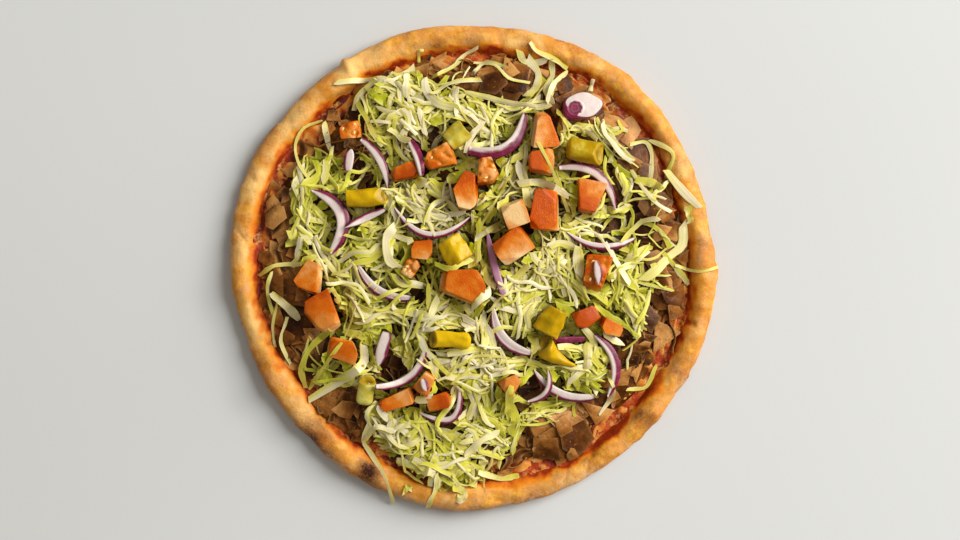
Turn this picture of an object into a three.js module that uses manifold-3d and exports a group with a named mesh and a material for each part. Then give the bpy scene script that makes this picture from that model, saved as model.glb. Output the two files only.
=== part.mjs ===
// A round kebab pizza, whole, with its salad and pickles heaped on top.
// Millimetres, +Z up. The origin is the middle of the flat underside; seen from above,
// +X is to the right and +Y is away from the eater.

import * as THREE from "three";
import { mergeVertices } from "three/addons/utils/BufferGeometryUtils.js";
import Module from "manifold-3d";

const wasm = await Module();
wasm.setup();

// Driving dimensions
const pizzaRadius = 160;
const rimWidth = 16.5;
const rimHeight = 14;
const baseThickness = 5;
const sauceThickness = 1;
const cheeseThickness = 1.3;
const meatThickness = 3.6;
const meatCrest = 16.1; // no slice of meat stands higher than this
const heapRadius = 118;
const heapLobe = 6; // the salad reaches further out in four places
const heapEdgeHeight = 17.2;
const heapCrownHeight = 27;
const gap = 0.3; // between pieces that touch
const seat = 0.65; // under a piece that rests on the faceted heap
const strandThickness = 1.2;
const onionThickness = 3.2;
const strandCount = 44;
const leafCount = 5;
const sliceCount = 26;

const degree = Math.PI / 180;
const up = new THREE.Vector3(0, 0, 1);

// Waves round the pizza: how many to a turn, their height in mm, and their phase in degrees
const edgeWaves = [[2, 0.3, 154], [3, 1.1, -88], [4, 1, 59], [5, 0.6, 124], [6, 0.7, 70], [7, 0.5, -14]];
const widthWaves = [[2, 0.8, 40], [3, 0.9, 200], [7, 0.7, 80], [11, 0.4, 0]];
const crestWaves = [[3, 0.5, 20], [5, 0.7, 100], [8, 0.6, 10], [13, 0.5, 200]];
const layerWaves = [[5, 1, 30], [9, 0.8, 140], [14, 0.5, 260]];

const wave = (angle, waves) =>
  waves.reduce((sum, [turns, height, phase]) => sum + height * Math.cos(turns * angle + phase * degree), 0);
const angleOf = (x, y) => Math.atan2(y, x);
const ramp = (value, from, to) => THREE.MathUtils.clamp((value - from) / (to - from), 0, 1);

function seededDraw(seed) {
  let state = seed;
  const draw = () => {
    state = (state + 0x6d2b79f5) | 0;
    let mixed = Math.imul(state ^ (state >>> 15), 1 | state);
    mixed = (mixed + Math.imul(mixed ^ (mixed >>> 7), 61 | mixed)) ^ mixed;
    return ((mixed ^ (mixed >>> 14)) >>> 0) / 4294967296;
  };
  return (low, high) => low + (high - low) * draw();
}

// Geometry and solids

function solidFrom(geometry) {
  geometry.deleteAttribute("normal");
  geometry.deleteAttribute("uv");
  const merged = mergeVertices(geometry, 1e-3);
  const index = Array.from(merged.index.array);
  const corners = [];
  for (let i = 0; i < index.length; i += 3) {
    const [a, b, c] = index.slice(i, i + 3);
    if (a !== b && b !== c && c !== a) corners.push(a, b, c);
  }
  return new wasm.Manifold(new wasm.Mesh({
    numProp: 3,
    vertProperties: new Float32Array(merged.getAttribute("position").array),
    triVerts: new Uint32Array(corners),
  }));
}

function geometryFrom(solid) {
  const mesh = solid.getMesh();
  const geometry = new THREE.BufferGeometry();
  geometry.setAttribute("position", new THREE.BufferAttribute(new Float32Array(mesh.vertProperties), 3));
  geometry.setIndex(new THREE.BufferAttribute(new Uint32Array(mesh.triVerts), 1));
  geometry.computeVertexNormals();
  return geometry;
}

function reshape(geometry, move) {
  const place = geometry.getAttribute("position");
  for (let i = 0; i < place.count; i += 1) {
    const moved = move(new THREE.Vector3().fromBufferAttribute(place, i));
    place.setXYZ(i, moved.x, moved.y, moved.z);
  }
  return geometry;
}

// A unit slab whose two broad faces are split into triangles alike
function slab(columns, rows) {
  const box = new THREE.BoxGeometry(1, 1, 1, columns, rows, 1);
  const index = box.getIndex();
  const underside = box.groups[5];
  for (let i = underside.start; i < underside.start + underside.count; i += 6) {
    const [a, b, d, , c] = Array.from(index.array.slice(i, i + 5));
    [a, b, c, a, c, d].forEach((corner, step) => index.setX(i + step, corner));
  }
  return box;
}

function turned(profile, segments, move) {
  const lathe = new THREE.LatheGeometry(profile.map(([r, z]) => new THREE.Vector2(r, z)), segments);
  lathe.rotateX(Math.PI / 2);
  return solidFrom(reshape(lathe, move));
}

const biggest = (solid) => solid.decompose().sort((one, other) => other.volume() - one.volume())[0];

function fuse(core, pieces) {
  return biggest(pieces.reduce((whole, piece) => whole.add(piece), core));
}

const pizza = new THREE.Group();

function addNode(name, solid, color, roughness) {
  const material = new THREE.MeshStandardMaterial({ color, roughness, metalness: 0 });
  const mesh = new THREE.Mesh(geometryFrom(solid), material);
  mesh.name = name;
  pizza.add(mesh);
}

// Crust: a flat base and a puffed rim that is uneven in outline, width and height

const rimInside = (angle) => pizzaRadius - rimWidth + wave(angle, widthWaves) + wave(angle, edgeWaves);

function crust() {
  const shoulder = pizzaRadius - rimWidth;
  const profile = [
    [0, 0], [pizzaRadius - 11, 0], [pizzaRadius - 4, 1.8], [pizzaRadius, 6.2], [pizzaRadius - 1.4, 10.6],
    [pizzaRadius - 6, rimHeight], [pizzaRadius - 11.5, rimHeight - 0.6], [shoulder + 0.8, 9.8],
    [shoulder - 2.2, baseThickness + 0.6], [shoulder - 4, baseThickness], [0, baseThickness],
  ];
  return turned(profile, 80, (point) => {
    const angle = angleOf(point.x, point.y);
    const radius = Math.hypot(point.x, point.y);
    const edge = ramp(radius, 60, shoulder - 4) * wave(angle, edgeWaves);
    const width = ramp(radius, 100, shoulder - 4) * ramp(-radius, -pizzaRadius + 4, -shoulder - 3)
      * wave(angle, widthWaves);
    const blister = 1.2 * Math.max(0, Math.sin(17 * angle) * Math.sin(5 * angle + 1)) * ramp(point.z, 8, 13);
    const stretched = (radius + edge + width + blister * 0.5) / Math.max(radius, 1e-6);
    const lift = ramp(point.z, baseThickness + 0.5, rimHeight) * wave(angle, crestWaves) + blister * 0.5;
    return new THREE.Vector3(point.x * stretched, point.y * stretched, point.z + lift);
  });
}

// A layer spread on the base, up to a ragged edge that stays clear of the rim
function spread(bottom, thickness, margin, raggedness, turn) {
  const reach = pizzaRadius - rimWidth - margin;
  const profile = [
    [0, bottom], [reach, bottom], [reach + 1, bottom + thickness * 0.5], [reach - 0.5, bottom + thickness],
    [0, bottom + thickness],
  ];
  return turned(profile, 56, (point) => {
    const angle = angleOf(point.x, point.y);
    const ragged = raggedness * wave(angle + turn, layerWaves);
    const stretched = 1 + (wave(angle, edgeWaves) + wave(angle, widthWaves) + ragged) / reach;
    return new THREE.Vector3(point.x * stretched, point.y * stretched, point.z);
  });
}

const sauceBottom = baseThickness + gap;
const cheeseBottom = sauceBottom + sauceThickness + gap;
const meatBottom = cheeseBottom + cheeseThickness + gap;
const meatTop = meatBottom + meatThickness;

// Kebab meat: a bed of shaved slices, with the slices that show beyond the salad fused on

const heapReach = (angle) => heapRadius - heapLobe * Math.cos(4 * angle) + wave(angle, layerWaves);

function meatSlice(draw, angle) {
  const inside = heapReach(angle) + 2;
  const outside = rimInside(angle) - 5;
  const middle = THREE.MathUtils.lerp(inside, outside, draw(0.35, 0.65));
  const heading = angle + Math.PI / 2 + draw(-0.9, 0.9);
  const length = draw(24, 38);
  const width = draw(11, 17);
  const curl = draw(0.6, 2.2);
  const twist = draw(-1.1, 1.1);
  const taper = draw(0.2, 0.6);
  const along = new THREE.Vector3(Math.cos(heading), Math.sin(heading), 0);
  const across = new THREE.Vector3().crossVectors(up, along);
  return solidFrom(reshape(slab(3, 2), (point) => {
    const u = 2 * point.x;
    const v = 2 * point.y;
    const halfWidth = 0.5 * width * (1 - taper * u * u) * (1 + 0.12 * Math.sin(5 * u + 9 * taper));
    const place = new THREE.Vector3(middle * Math.cos(angle), middle * Math.sin(angle), 0)
      .addScaledVector(along, 0.5 * length * u)
      .addScaledVector(across, halfWidth * v);
    const spot = angleOf(place.x, place.y);
    const radius = THREE.MathUtils.clamp(place.length(), heapReach(spot) + 1.5, rimInside(spot) - 4);
    place.setLength(radius);
    const rise = curl * u * u + twist * u * v + 0.7 * v * v;
    place.z = Math.min(meatTop - 0.2 + rise, meatCrest - 2.4) + 2.4 * (point.z + 0.5);
    return place;
  }));
}

function kebabMeat() {
  const draw = seededDraw(11);
  const reach = pizzaRadius - rimWidth - 6;
  const profile = [
    [0, meatBottom], [reach - 2, meatBottom], [reach, meatBottom + 1.6], [reach - 3, meatTop - 0.4],
    [reach - 12, meatTop], [0, meatTop],
  ];
  const bed = turned(profile, 48, (point) => {
    const angle = angleOf(point.x, point.y);
    const outline = wave(angle, edgeWaves) + wave(angle, widthWaves) + 0.8 * wave(angle, layerWaves);
    const stretched = 1 + outline / reach;
    return new THREE.Vector3(point.x * stretched, point.y * stretched, point.z);
  });
  const slices = Array.from({ length: sliceCount }, (_, i) =>
    meatSlice(draw, (i + draw(-0.25, 0.25)) * (2 * Math.PI / sliceCount)));
  return fuse(bed, slices);
}

// The heap of salad: a low uneven mound that the toppings rest on

const moundSlope = (heapCrownHeight - heapEdgeHeight) / heapRadius ** 2;

function moundTop(x, y) {
  const reach = heapReach(angleOf(x, y));
  const crown = 1 - Math.min(1, Math.hypot(x, y) / reach) ** 2;
  const lumps = 1.5 * Math.sin(x / 13 + 1) * Math.cos(y / 11) + 0.9 * Math.sin((x + y) / 8 + 2);
  return heapEdgeHeight + (heapCrownHeight - heapEdgeHeight) * crown + lumps * ramp(crown, 0, 0.35);
}

function ground(x, y) {
  const onHeap = Math.hypot(x, y) < heapReach(angleOf(x, y)) + 1;
  return onHeap ? moundTop(x, y) : meatCrest + gap;
}

function moundCore() {
  const bottom = meatTop + gap + 0.1;
  const rings = [heapRadius - 5, 102, 90, 76, 62, 48, 34, 18];
  const profile = [[0, bottom], [heapRadius - 1, bottom], [heapRadius, heapEdgeHeight],
    ...rings.map((radius) => [radius, heapCrownHeight]), [0, heapCrownHeight]];
  return turned(profile, 36, (point) => {
    const stretched = heapReach(angleOf(point.x, point.y)) / heapRadius;
    const x = point.x * stretched;
    const y = point.y * stretched;
    return new THREE.Vector3(x, y, point.z > heapEdgeHeight ? moundTop(x, y) : point.z);
  });
}

// Toppings. Each entry is [x, y, length, width, height, turn in degrees] on the heap.

const tomatoDice = [
  [-80.6, 88.2, 12, 10.5, 8, 10], [-45, 60.9, 16, 9, 7, 15], [-22.5, 70, 18, 13, 9, 20],
  [-4.7, 48.3, 23, 14, 10, 75], [9.2, 61.6, 15, 12, 9, 100], [45.9, 88.5, 21, 13, 9, 95],
  [43.9, 67.4, 15, 14, 11, 0], [75.5, 44.5, 19, 15, 10, 80], [27.3, 33.5, 15, 15, 13, 20],
  [46.5, 36.1, 25, 16, 10, 85], [25.5, 12.6, 21, 18, 11, 35], [-33.5, 10.2, 13, 12, 9, 0],
  [-40.8, -1.7, 12, 9, 7, 60], [-6.9, -12.2, 25, 19, 11, -10], [-106.7, -7.6, 18, 13, 9, 70],
  [-98.2, -31.7, 21, 18, 10, 120], [-85.2, -55.2, 18, 12, 8, -15], [79.8, -4, 20, 15, 9, 75],
  [73.9, -34, 15, 12, 9, 30], [89.5, -41, 13, 9, 8, -20], [24.4, -77.4, 12, 10.5, 9, 40],
  [-51, -88.5, 22, 9, 8, 20], [-22.5, -89, 14, 10, 8, 15], [-31.5, -76.8, 12, 10, 9, 60],
];

const pepperPieces = [
  { at: [-11.3, 84.6], length: 15, width: 14, turn: 40, open: "one" },
  { at: [-70.8, 43.9], length: 24, width: 12, turn: 5, open: "both" },
  { at: [71.3, 74.6], length: 22, width: 15, turn: -10, open: "one" },
  { at: [-12.2, 9.7], length: 18, width: 17, turn: 120, open: "both" },
  { at: [-14.1, -48], length: 25, width: 11, turn: 175, open: "one" },
  { at: [50.5, -36.3], length: 18, width: 16, turn: 60, open: "both" },
  { at: [54.5, -60.5], length: 24, width: 14, turn: 146, open: "tip" },
  { at: [-70.8, -83.2], length: 16, width: 11, turn: 80, open: "one" },
];

// Onion strips lie from one point to another, with their middle bowed off the straight line
const onionStrips = [
  { from: [-73.5, 82.5], to: [-56.2, 50.5], bow: 4.5, width: 5.2 },
  { from: [-82, 62], to: [-79.8, 76], bow: 0.7, width: 6.5 },
  { from: [-44.7, 85], to: [-33.8, 58.5], bow: 2.6, width: 6 },
  { from: [-3, 75.2], to: [33.5, 100], bow: -12.8, width: 7.4 },
  { from: [56, 64.1], to: [92.9, 36.1], bow: 11.5, width: 5.4 },
  { from: [60.9, 21.7], to: [105.9, 17.8], bow: -7.5, width: 3.9 },
  { from: [-106, 49.1], to: [-93.6, 8], bow: 14.6, width: 8.5 },
  { from: [-84, 24.3], to: [-57.5, 36.6], bow: 0.6, width: 5 },
  { from: [-52, 38.5], to: [-2.4, 31.5], bow: -15.3, width: 3.9 },
  { from: [-76, 2.2], to: [-40.8, -21.3], bow: -7.8, width: 5.9 },
  { from: [-56.5, -43.5], to: [-62.3, -65.6], bow: 0, width: 8 },
  { from: [-63.5, -79], to: [-31, -49], bow: -10.5, width: 5 },
  { from: [-34.5, -97], to: [-9, -80], bow: -14, width: 4.2 },
  { from: [9, 22.4], to: [20, -20.5], bow: -1.2, width: 5 },
  { from: [12.8, -27], to: [38.5, -57.5], bow: -8.5, width: 7.2 },
  { from: [52, -48.2], to: [73, -47.8], bow: -0.4, width: 3.9 },
  { from: [79, -45.5], to: [88, -86], bow: 9.5, width: 5.9 },
  { from: [39.4, -68], to: [79, -86], bow: -7.5, width: 5.6 },
  { from: [48.5, -68], to: [35.5, -89.1], bow: 7, width: 3.9 },
  { from: [79, 3.2], to: [80.7, -12.5], bow: 1, width: 5.2 },
  { from: [-32.8, -73.5], to: [-30.4, -81.5], bow: 0, width: 5 },
];

const onionEnd = { at: [70.7, 103.9], length: 27, width: 18, turn: 12 };

// What lies on the heap so far: discs of a centre, a radius and the height of their top
const laid = [];

const footprint = (x, y, radius) => laid.some((disc) =>
  Math.hypot(x - disc.x, y - disc.y) < disc.radius + radius);

function restHeight(x, y) {
  return laid.reduce((height, disc) =>
    (Math.hypot(x - disc.x, y - disc.y) < disc.radius ? Math.max(height, disc.top) : height), ground(x, y));
}

// Lays a solid flat on the slope of the heap, turned by so many degrees, as low as it clears
function settle(geometry, [x, y], turn, support) {
  const normal = new THREE.Vector3(2 * moundSlope * x, 2 * moundSlope * y, 1).normalize();
  const placing = new THREE.Matrix4()
    .makeRotationFromQuaternion(new THREE.Quaternion().setFromUnitVectors(up, normal))
    .multiply(new THREE.Matrix4().makeRotationZ(turn * degree))
    .setPosition(x, y, 0);
  geometry.applyMatrix4(placing);
  let rise = -Infinity;
  reshape(geometry, (point) => {
    rise = Math.max(rise, support(point.x, point.y) + seat - point.z);
    return point;
  });
  geometry.translate(0, 0, rise);
  geometry.computeBoundingBox();
  return { geometry, top: geometry.boundingBox.max.z };
}

function tomatoDie(draw, length, width, height) {
  const jitter = new Map();
  return reshape(new THREE.BoxGeometry(1, 1, 1, 2, 2, 2), (point) => {
    const key = point.toArray().join();
    if (!jitter.has(key)) jitter.set(key, [draw(0.9, 1.04), draw(0.9, 1.04), draw(0.88, 1.04)]);
    const [alongX, alongY, alongZ] = jitter.get(key);
    const round = 1.16 - 0.36 * point.length(); // the corners are soft, the faces a little full
    const flat = point.z < 0 ? 0.9 : 1;
    return new THREE.Vector3(
      point.x * length * round * alongX, point.y * width * round * alongY, point.z * height * flat * alongZ,
    );
  });
}

// A piece of pickled pepper: a squashed tube lying on its side, open at one or both ends
function pepperPiece({ length, width, open }) {
  const radius = width / 2;
  const wall = 2;
  const tip = [
    [0, 0], [radius * 0.22, 1], [radius * 0.6, length * 0.45], [radius, length * 0.9],
    [radius * 0.96, length], [radius - wall, length], [radius - wall - 0.4, length * 0.82],
    [0, length * 0.7],
  ];
  const cup = [
    [0, 0], [radius * 0.72, 0.6], [radius, 3.4], [radius * 0.94, length * 0.6], [radius, length],
    [radius - wall, length], [radius - wall, length * 0.5], [0, length * 0.4],
  ];
  const tube = [
    [radius * 0.94, 0], [radius, length * 0.5], [radius * 0.9, length], [radius * 0.9 - wall, length],
    [radius - wall, length * 0.5], [radius * 0.94 - wall, 0], [radius * 0.94, 0],
  ];
  const profile = { tip, one: cup, both: tube }[open];
  const lathe = new THREE.LatheGeometry(profile.map(([r, z]) => new THREE.Vector2(r, z)), 9);
  lathe.rotateZ(-Math.PI / 2).translate(-length / 2, 0, 0);
  return reshape(lathe, (point) =>
    new THREE.Vector3(point.x, point.y * (1 + 0.06 * Math.sin(point.x)), point.z * 0.74));
}

// The cut end of an onion: an oval slice with its layers as low rings round the core
function onionEndSlice({ length, width }) {
  const profile = [[0, 0], [0.47, 0], [0.5, 2.4], [0.42, 4.4], [0.36, 3.5], [0.28, 4.3], [0.2, 3.6], [0, 5]];
  const lathe = new THREE.LatheGeometry(profile.map(([r, z]) => new THREE.Vector2(r, z)), 16);
  lathe.rotateX(Math.PI / 2);
  return reshape(lathe, (point) => new THREE.Vector3(point.x * length, point.y * width, point.z));
}

// Strips: a slab that follows stations along a line, for onion and for salad alike

// Points of a bowed line between two places, in plan
function bowedLine([x0, y0], [x1, y1], bow, steps) {
  const chord = Math.hypot(x1 - x0, y1 - y0);
  const [nx, ny] = [-(y1 - y0) / chord, (x1 - x0) / chord];
  return Array.from({ length: steps + 1 }, (_, i) => {
    const t = i / steps;
    const off = bow * 4 * t * (1 - t);
    return [x0 + (x1 - x0) * t + nx * off, y0 + (y1 - y0) * t + ny * off];
  });
}

// Heights for the stations: above all that is under the strip, and never steeper than it can bend
function drape(line, halfWidth, clearance, support, steepest) {
  const heights = line.map(([x, y], i) => {
    const [px, py] = line[Math.max(0, i - 1)];
    const [qx, qy] = line[Math.min(line.length - 1, i + 1)];
    const span = Math.hypot(qx - px, qy - py);
    const side = [-(qy - py) / span * halfWidth, (qx - px) / span * halfWidth];
    const ahead = [(qx - px) / 4, (qy - py) / 4];
    const spots = [-1, 0, 1].flatMap((s) => [-1, 0, 1].map((a) =>
      support(x + s * side[0] + a * ahead[0], y + s * side[1] + a * ahead[1])));
    return Math.max(...spots) + clearance;
  });
  return line.map(([x, y], i) => new THREE.Vector3(x, y, Math.max(...line.map(([u, v], j) =>
    heights[j] - steepest * Math.hypot(x - u, y - v)))));
}

function strip(stations, widthAt, thickness, rollAt, ruffle = 0) {
  const last = stations.length - 1;
  return reshape(slab(last, ruffle ? 2 : 1), (point) => {
    const step = Math.round((point.x + 0.5) * last);
    const before = stations[Math.max(0, step - 1)];
    const after = stations[Math.min(last, step + 1)];
    const along = new THREE.Vector3().subVectors(after, before).normalize();
    const across = new THREE.Vector3().crossVectors(up, along).normalize();
    across.applyAxisAngle(along, rollAt(step / last));
    const upward = new THREE.Vector3().crossVectors(along, across);
    const fold = ruffle * Math.sin(2.4 * step) * (Math.abs(point.y) - 0.25);
    return stations[step].clone()
      .addScaledVector(across, point.y * widthAt(step / last))
      .addScaledVector(upward, point.z * thickness + fold);
  });
}

// Tomatoes and peppers first, then the onion that drapes over and between them
function layToppings() {
  const draw = seededDraw(29);
  tomatoDice.forEach(([x, y, length, width, height, turn], i) => {
    const { geometry, top } = settle(tomatoDie(draw, length, width, height), [x, y], turn, ground);
    const color = i % 4 === 2 ? 0xe08a3c : 0xd2551c;
    addNode(`tomato_${String(i + 1).padStart(2, "0")}`, solidFrom(geometry), color, 0.35);
    const spine = (length - width) / 2;
    [-1, 0, 1].forEach((end) => laid.push({
      x: x + end * spine * Math.cos(turn * degree),
      y: y + end * spine * Math.sin(turn * degree),
      radius: width / 2 + gap,
      top,
    }));
  });
  pepperPieces.forEach((piece, i) => {
    const { geometry, top } = settle(pepperPiece(piece), piece.at, piece.turn, ground);
    addNode(`pepper_${i + 1}`, solidFrom(geometry), 0xd0a528, 0.4);
    const spine = Math.max(0, (piece.length - piece.width) / 2);
    [-1, 1].forEach((end) => laid.push({
      x: piece.at[0] + end * spine * Math.cos(piece.turn * degree),
      y: piece.at[1] + end * spine * Math.sin(piece.turn * degree),
      radius: piece.width / 2 + gap,
      top,
    }));
  });
  const slice = settle(onionEndSlice(onionEnd), onionEnd.at, onionEnd.turn, ground);
  addNode("onion_end", solidFrom(slice.geometry), 0xe2cfd2, 0.4);
  laid.push({ x: onionEnd.at[0], y: onionEnd.at[1], radius: onionEnd.length / 2, top: slice.top });
  onionStrips.forEach(({ from, to, bow, width }, i) => {
    const line = bowedLine(from, to, bow, 7);
    const stations = drape(line, width / 2, onionThickness / 2 + seat, restHeight, 0.55);
    const taper = (t) => width * (1 - 0.45 * (2 * t - 1) ** 4);
    const solid = solidFrom(strip(stations, taper, onionThickness, () => 0));
    addNode(`onion_${String(i + 1).padStart(2, "0")}`, solid, i % 3 === 0 ? 0x9a4a63 : 0xdcc6cb, 0.4);
    stations.slice(1).forEach((station, step) => [0, 0.5, 1].forEach((share) => {
      const { x, y } = stations[step].clone().lerp(station, share);
      const top = Math.max(stations[step].z, station.z) + onionThickness / 2;
      laid.push({ x, y, radius: width / 2 + gap, top });
    }));
  });
}

// Salad strands that lie out over the rim or show on their own, each a line of [x, y]
const looseStrands = [
  { line: [[-60, -84], [-67.6, -99.5], [-72.5, -112], [-66.3, -127], [-57, -146], [-53.9, -161]], width: 4 },
  { line: [[-41.5, -100.8], [-57.8, -112.6], [-71, -117]], width: 3 },
  { line: [[-18, -112], [-25.2, -136.7], [-27, -147], [-30.4, -159.5]], width: 3.4 },
  { line: [[-107, 6], [-120, 3.5], [-132.7, -1.1], [-144, -9]], width: 4.5 },
  { line: [[-108, -20], [-128, -22], [-139, -27]], width: 6 },
  { line: [[-96, 96], [-84, 106], [-78, 121], [-92, 121]], width: 5 },
  { line: [[-100, 92], [-117.8, 87.6], [-117.8, 76.5], [-112.5, 58.2], [-107, 44]], width: 2.6 },
  { line: [[-14, 108], [-18.7, 126.1], [-2.4, 141.7]], width: 4 },
  { line: [[-30, 108], [-36.9, 126.1], [-33.6, 139.1]], width: 3 },
  { line: [[55, 104], [52, 122], [39, 143]], width: 9 },
  { line: [[98, 76], [108.5, 85], [121.5, 81.7], [129.4, 68.7]], width: 4 },
  { line: [[112, 58], [128.7, 61], [150, 36]], width: 8 },
  { line: [[104, 62], [118, 56], [126, 40]], width: 4 },
  { line: [[98, -66], [104, -84], [120, -92]], width: 6 },
  { line: [[18, -104], [30, -122], [52, -128]], width: 5 },
];

// Where a salad strand lies: over the mound, the meat and the rim, and down outside the rim
function saladBed(x, y) {
  const radius = Math.hypot(x, y);
  const overEdge = radius - pizzaRadius - 1;
  if (overEdge > 0) return Math.max(4, meatCrest + gap - 2.5 * overEdge);
  return ground(x, y);
}

const insideMound = (x, y, depth) => Math.hypot(x, y) < heapReach(angleOf(x, y)) - depth;

// Tries one strand at random. Its ends are sunk in the mound, and it is shortened off the toppings.
function growStrand(draw, leafy) {
  const radius = (heapRadius + 4) * Math.sqrt(draw(0, 1));
  const angle = draw(0, 2 * Math.PI);
  const [x, y] = [radius * Math.cos(angle), radius * Math.sin(angle)];
  const heading = draw(0, Math.PI);
  const width = leafy ? draw(10, 16) : draw(2.6, 6.5);
  const bow = draw(-0.25, 0.25);
  for (let length = leafy ? 24 : draw(28, 56); length > 15; length *= 0.75) {
    const reach = [0.5 * length * Math.cos(heading), 0.5 * length * Math.sin(heading)];
    const ends = [[x - reach[0], y - reach[1]], [x + reach[0], y + reach[1]]];
    const clear = bowedLine(...ends, bow * length, 16).every(([u, v]) =>
      !footprint(u, v, width / 2 + 1.6) && Math.hypot(u, v) < pizzaRadius - 19);
    const line = bowedLine(...ends, bow * length, 4);
    const held = [line[0], line[line.length - 1]].some(([u, v]) => insideMound(u, v, 5));
    if (clear && held) return { line, width, lift: draw(1.5, 2.6), roll: leafy ? 0 : draw(-0.5, 0.5) };
  }
  return null;
}

function strandSolid({ line, width, lift, roll }, leafy) {
  const stations = line.map(([x, y], i) => {
    const t = i / (line.length - 1);
    const arch = lift * 4 * t * (1 - t);
    const overRim = 0.9 + 0.5 * width * Math.abs(Math.sin(roll)) + 0.3 * arch;
    const over = insideMound(x, y, 2) ? -0.25 + arch : overRim;
    return new THREE.Vector3(x, y, saladBed(x, y) + over);
  });
  const taper = (t) => width * (1 - 0.5 * (2 * t - 1) ** 4);
  const rolled = (t) => roll * Math.sin(Math.PI * t);
  return solidFrom(strip(stations, taper, strandThickness, rolled, leafy ? 2.2 : 0));
}

function lettuce() {
  const draw = seededDraw(73);
  const strands = looseStrands.map(({ line, width }) => {
    const curve = new THREE.CatmullRomCurve3(line.map(([x, y]) => new THREE.Vector3(x, y, 0)));
    const places = curve.getSpacedPoints(Math.ceil(curve.getLength() / 11));
    return strandSolid({ line: places.map(({ x, y }) => [x, y]), width, lift: 0, roll: 0 });
  });
  const grow = (count, leafy) => {
    for (let made = 0, tries = 0; made < count && tries < 4000; tries += 1) {
      const strand = growStrand(draw, leafy);
      if (!strand) continue;
      strands.push(strandSolid(strand, leafy));
      made += 1;
    }
  };
  grow(leafCount, true);
  grow(strandCount, false);
  return fuse(moundCore(), strands);
}

addNode("crust", crust(), 0xe0a862, 0.8);
addNode("tomato_sauce", spread(sauceBottom, sauceThickness, 6, 0.6, 0), 0x8a2408, 0.35);
addNode("melted_cheese", spread(cheeseBottom, cheeseThickness, 7, 1.2, 2), 0xe3b45c, 0.4);
addNode("kebab_meat", kebabMeat(), 0x8f5a30, 0.6);
layToppings();
addNode("lettuce", lettuce(), 0xbdb945, 0.5);

export default pizza;
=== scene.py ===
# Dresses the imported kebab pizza: baked crust, sauce, cheese, shaved meat, and the cut salad on top.
# Sizes in the dictionaries are millimetres in plan, +X right and +Y up as in the photograph.
import math
import bpy
import numpy as np
from mathutils import Matrix, Vector
from mathutils.bvhtree import BVHTree


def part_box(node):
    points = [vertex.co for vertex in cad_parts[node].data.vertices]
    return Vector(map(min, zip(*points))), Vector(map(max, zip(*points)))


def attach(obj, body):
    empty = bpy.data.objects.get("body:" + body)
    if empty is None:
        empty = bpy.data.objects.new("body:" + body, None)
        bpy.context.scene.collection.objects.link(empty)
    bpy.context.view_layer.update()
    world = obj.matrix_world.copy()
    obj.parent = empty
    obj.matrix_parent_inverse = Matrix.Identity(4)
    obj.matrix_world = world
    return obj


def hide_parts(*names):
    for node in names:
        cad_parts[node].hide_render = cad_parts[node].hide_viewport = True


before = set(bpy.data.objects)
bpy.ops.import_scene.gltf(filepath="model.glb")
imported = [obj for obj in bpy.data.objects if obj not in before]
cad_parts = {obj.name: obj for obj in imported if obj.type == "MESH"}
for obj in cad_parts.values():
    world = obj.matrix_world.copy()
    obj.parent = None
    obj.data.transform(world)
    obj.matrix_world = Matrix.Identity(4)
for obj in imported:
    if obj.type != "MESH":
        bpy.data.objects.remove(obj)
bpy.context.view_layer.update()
mm = 0.001
degree = math.pi / 180

# waves are (how many round the pizza, height, phase in degrees)
pizza = {
    "radius": 160.0,
    "edgeWaves": [(2, 0.3, 154), (3, 1.1, -88), (4, 1, 59), (5, 0.6, 124), (6, 0.7, 70), (7, 0.5, -14)],
    "widthWaves": [(2, 0.8, 40), (3, 0.9, 200), (7, 0.7, 80), (11, 0.4, 0)],
    "crestWaves": [(3, 0.5, 20), (5, 0.7, 100), (8, 0.6, 10), (13, 0.5, 200)],
}
heap = {
    "radius": 118.0,
    "lobe": 6.0,
    "edgeHeight": 17.2,
    "crownHeight": 27.0,
    "edgeWaves": [(5, 1, 30), (9, 0.8, 140), (14, 0.5, 260)],
}


def waves(angle, table):
    return sum(height * np.cos(turns * angle + phase * degree) for turns, height, phase in table)


def rampUp(value, low, high):
    return np.clip((value - low) / (high - low), 0, 1)


def softStep(value, low, high):
    t = rampUp(value, low, high)
    return t * t * (3 - 2 * t)


def ripple(points, length, seed, count=12):
    # smooth noise, mostly between -1 and 1, over points of any shape (..., 3)
    rng = np.random.default_rng(seed)
    total = 0
    for _ in range(count):
        way = rng.normal(size=3)
        way *= math.tau / (length * rng.uniform(0.7, 1.5)) / np.linalg.norm(way)
        total = total + np.sin(points @ way + rng.uniform(0, math.tau))
    return total * 0.5 * (2 / count) ** 0.5


def plan(x, y):
    return np.stack([x, y, np.zeros_like(x)], axis=-1)


def polar(radius, angle, height):
    return np.stack([radius * np.cos(angle), radius * np.sin(angle), height], axis=-1)


def unit(vectors):
    return vectors / (np.linalg.norm(vectors, axis=-1, keepdims=True) + 1e-9)


def sideways(px, py):
    # the way to the left of a line in plan
    dx, dy = np.gradient(px), np.gradient(py)
    size = np.hypot(dx, dy) + 1e-9
    return -dy / size, dx / size


def axesAlong(line, roll):
    # at each point of a line: the way along it, to its side and up, with the last two rolled by an angle
    along = unit(np.gradient(line, axis=0))
    side = unit(np.cross([0, 0, 1], along))
    lift = np.cross(along, side)
    turned = side * np.cos(roll) + lift * np.sin(roll), lift * np.cos(roll) - side * np.sin(roll)
    return along, *turned


def turnFrom(angle, at):
    # from one direction to another, at most half a turn either way
    return (angle - at + math.pi) % math.tau - math.pi


def outline(angle):
    # how far the inside of the rim strays from a circle
    return waves(angle, pizza["edgeWaves"]) + waves(angle, pizza["widthWaves"])


def bothSides(values):
    # values of the upper side, then of the lower side the other way round
    return np.concatenate([values, values[::-1]])


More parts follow.
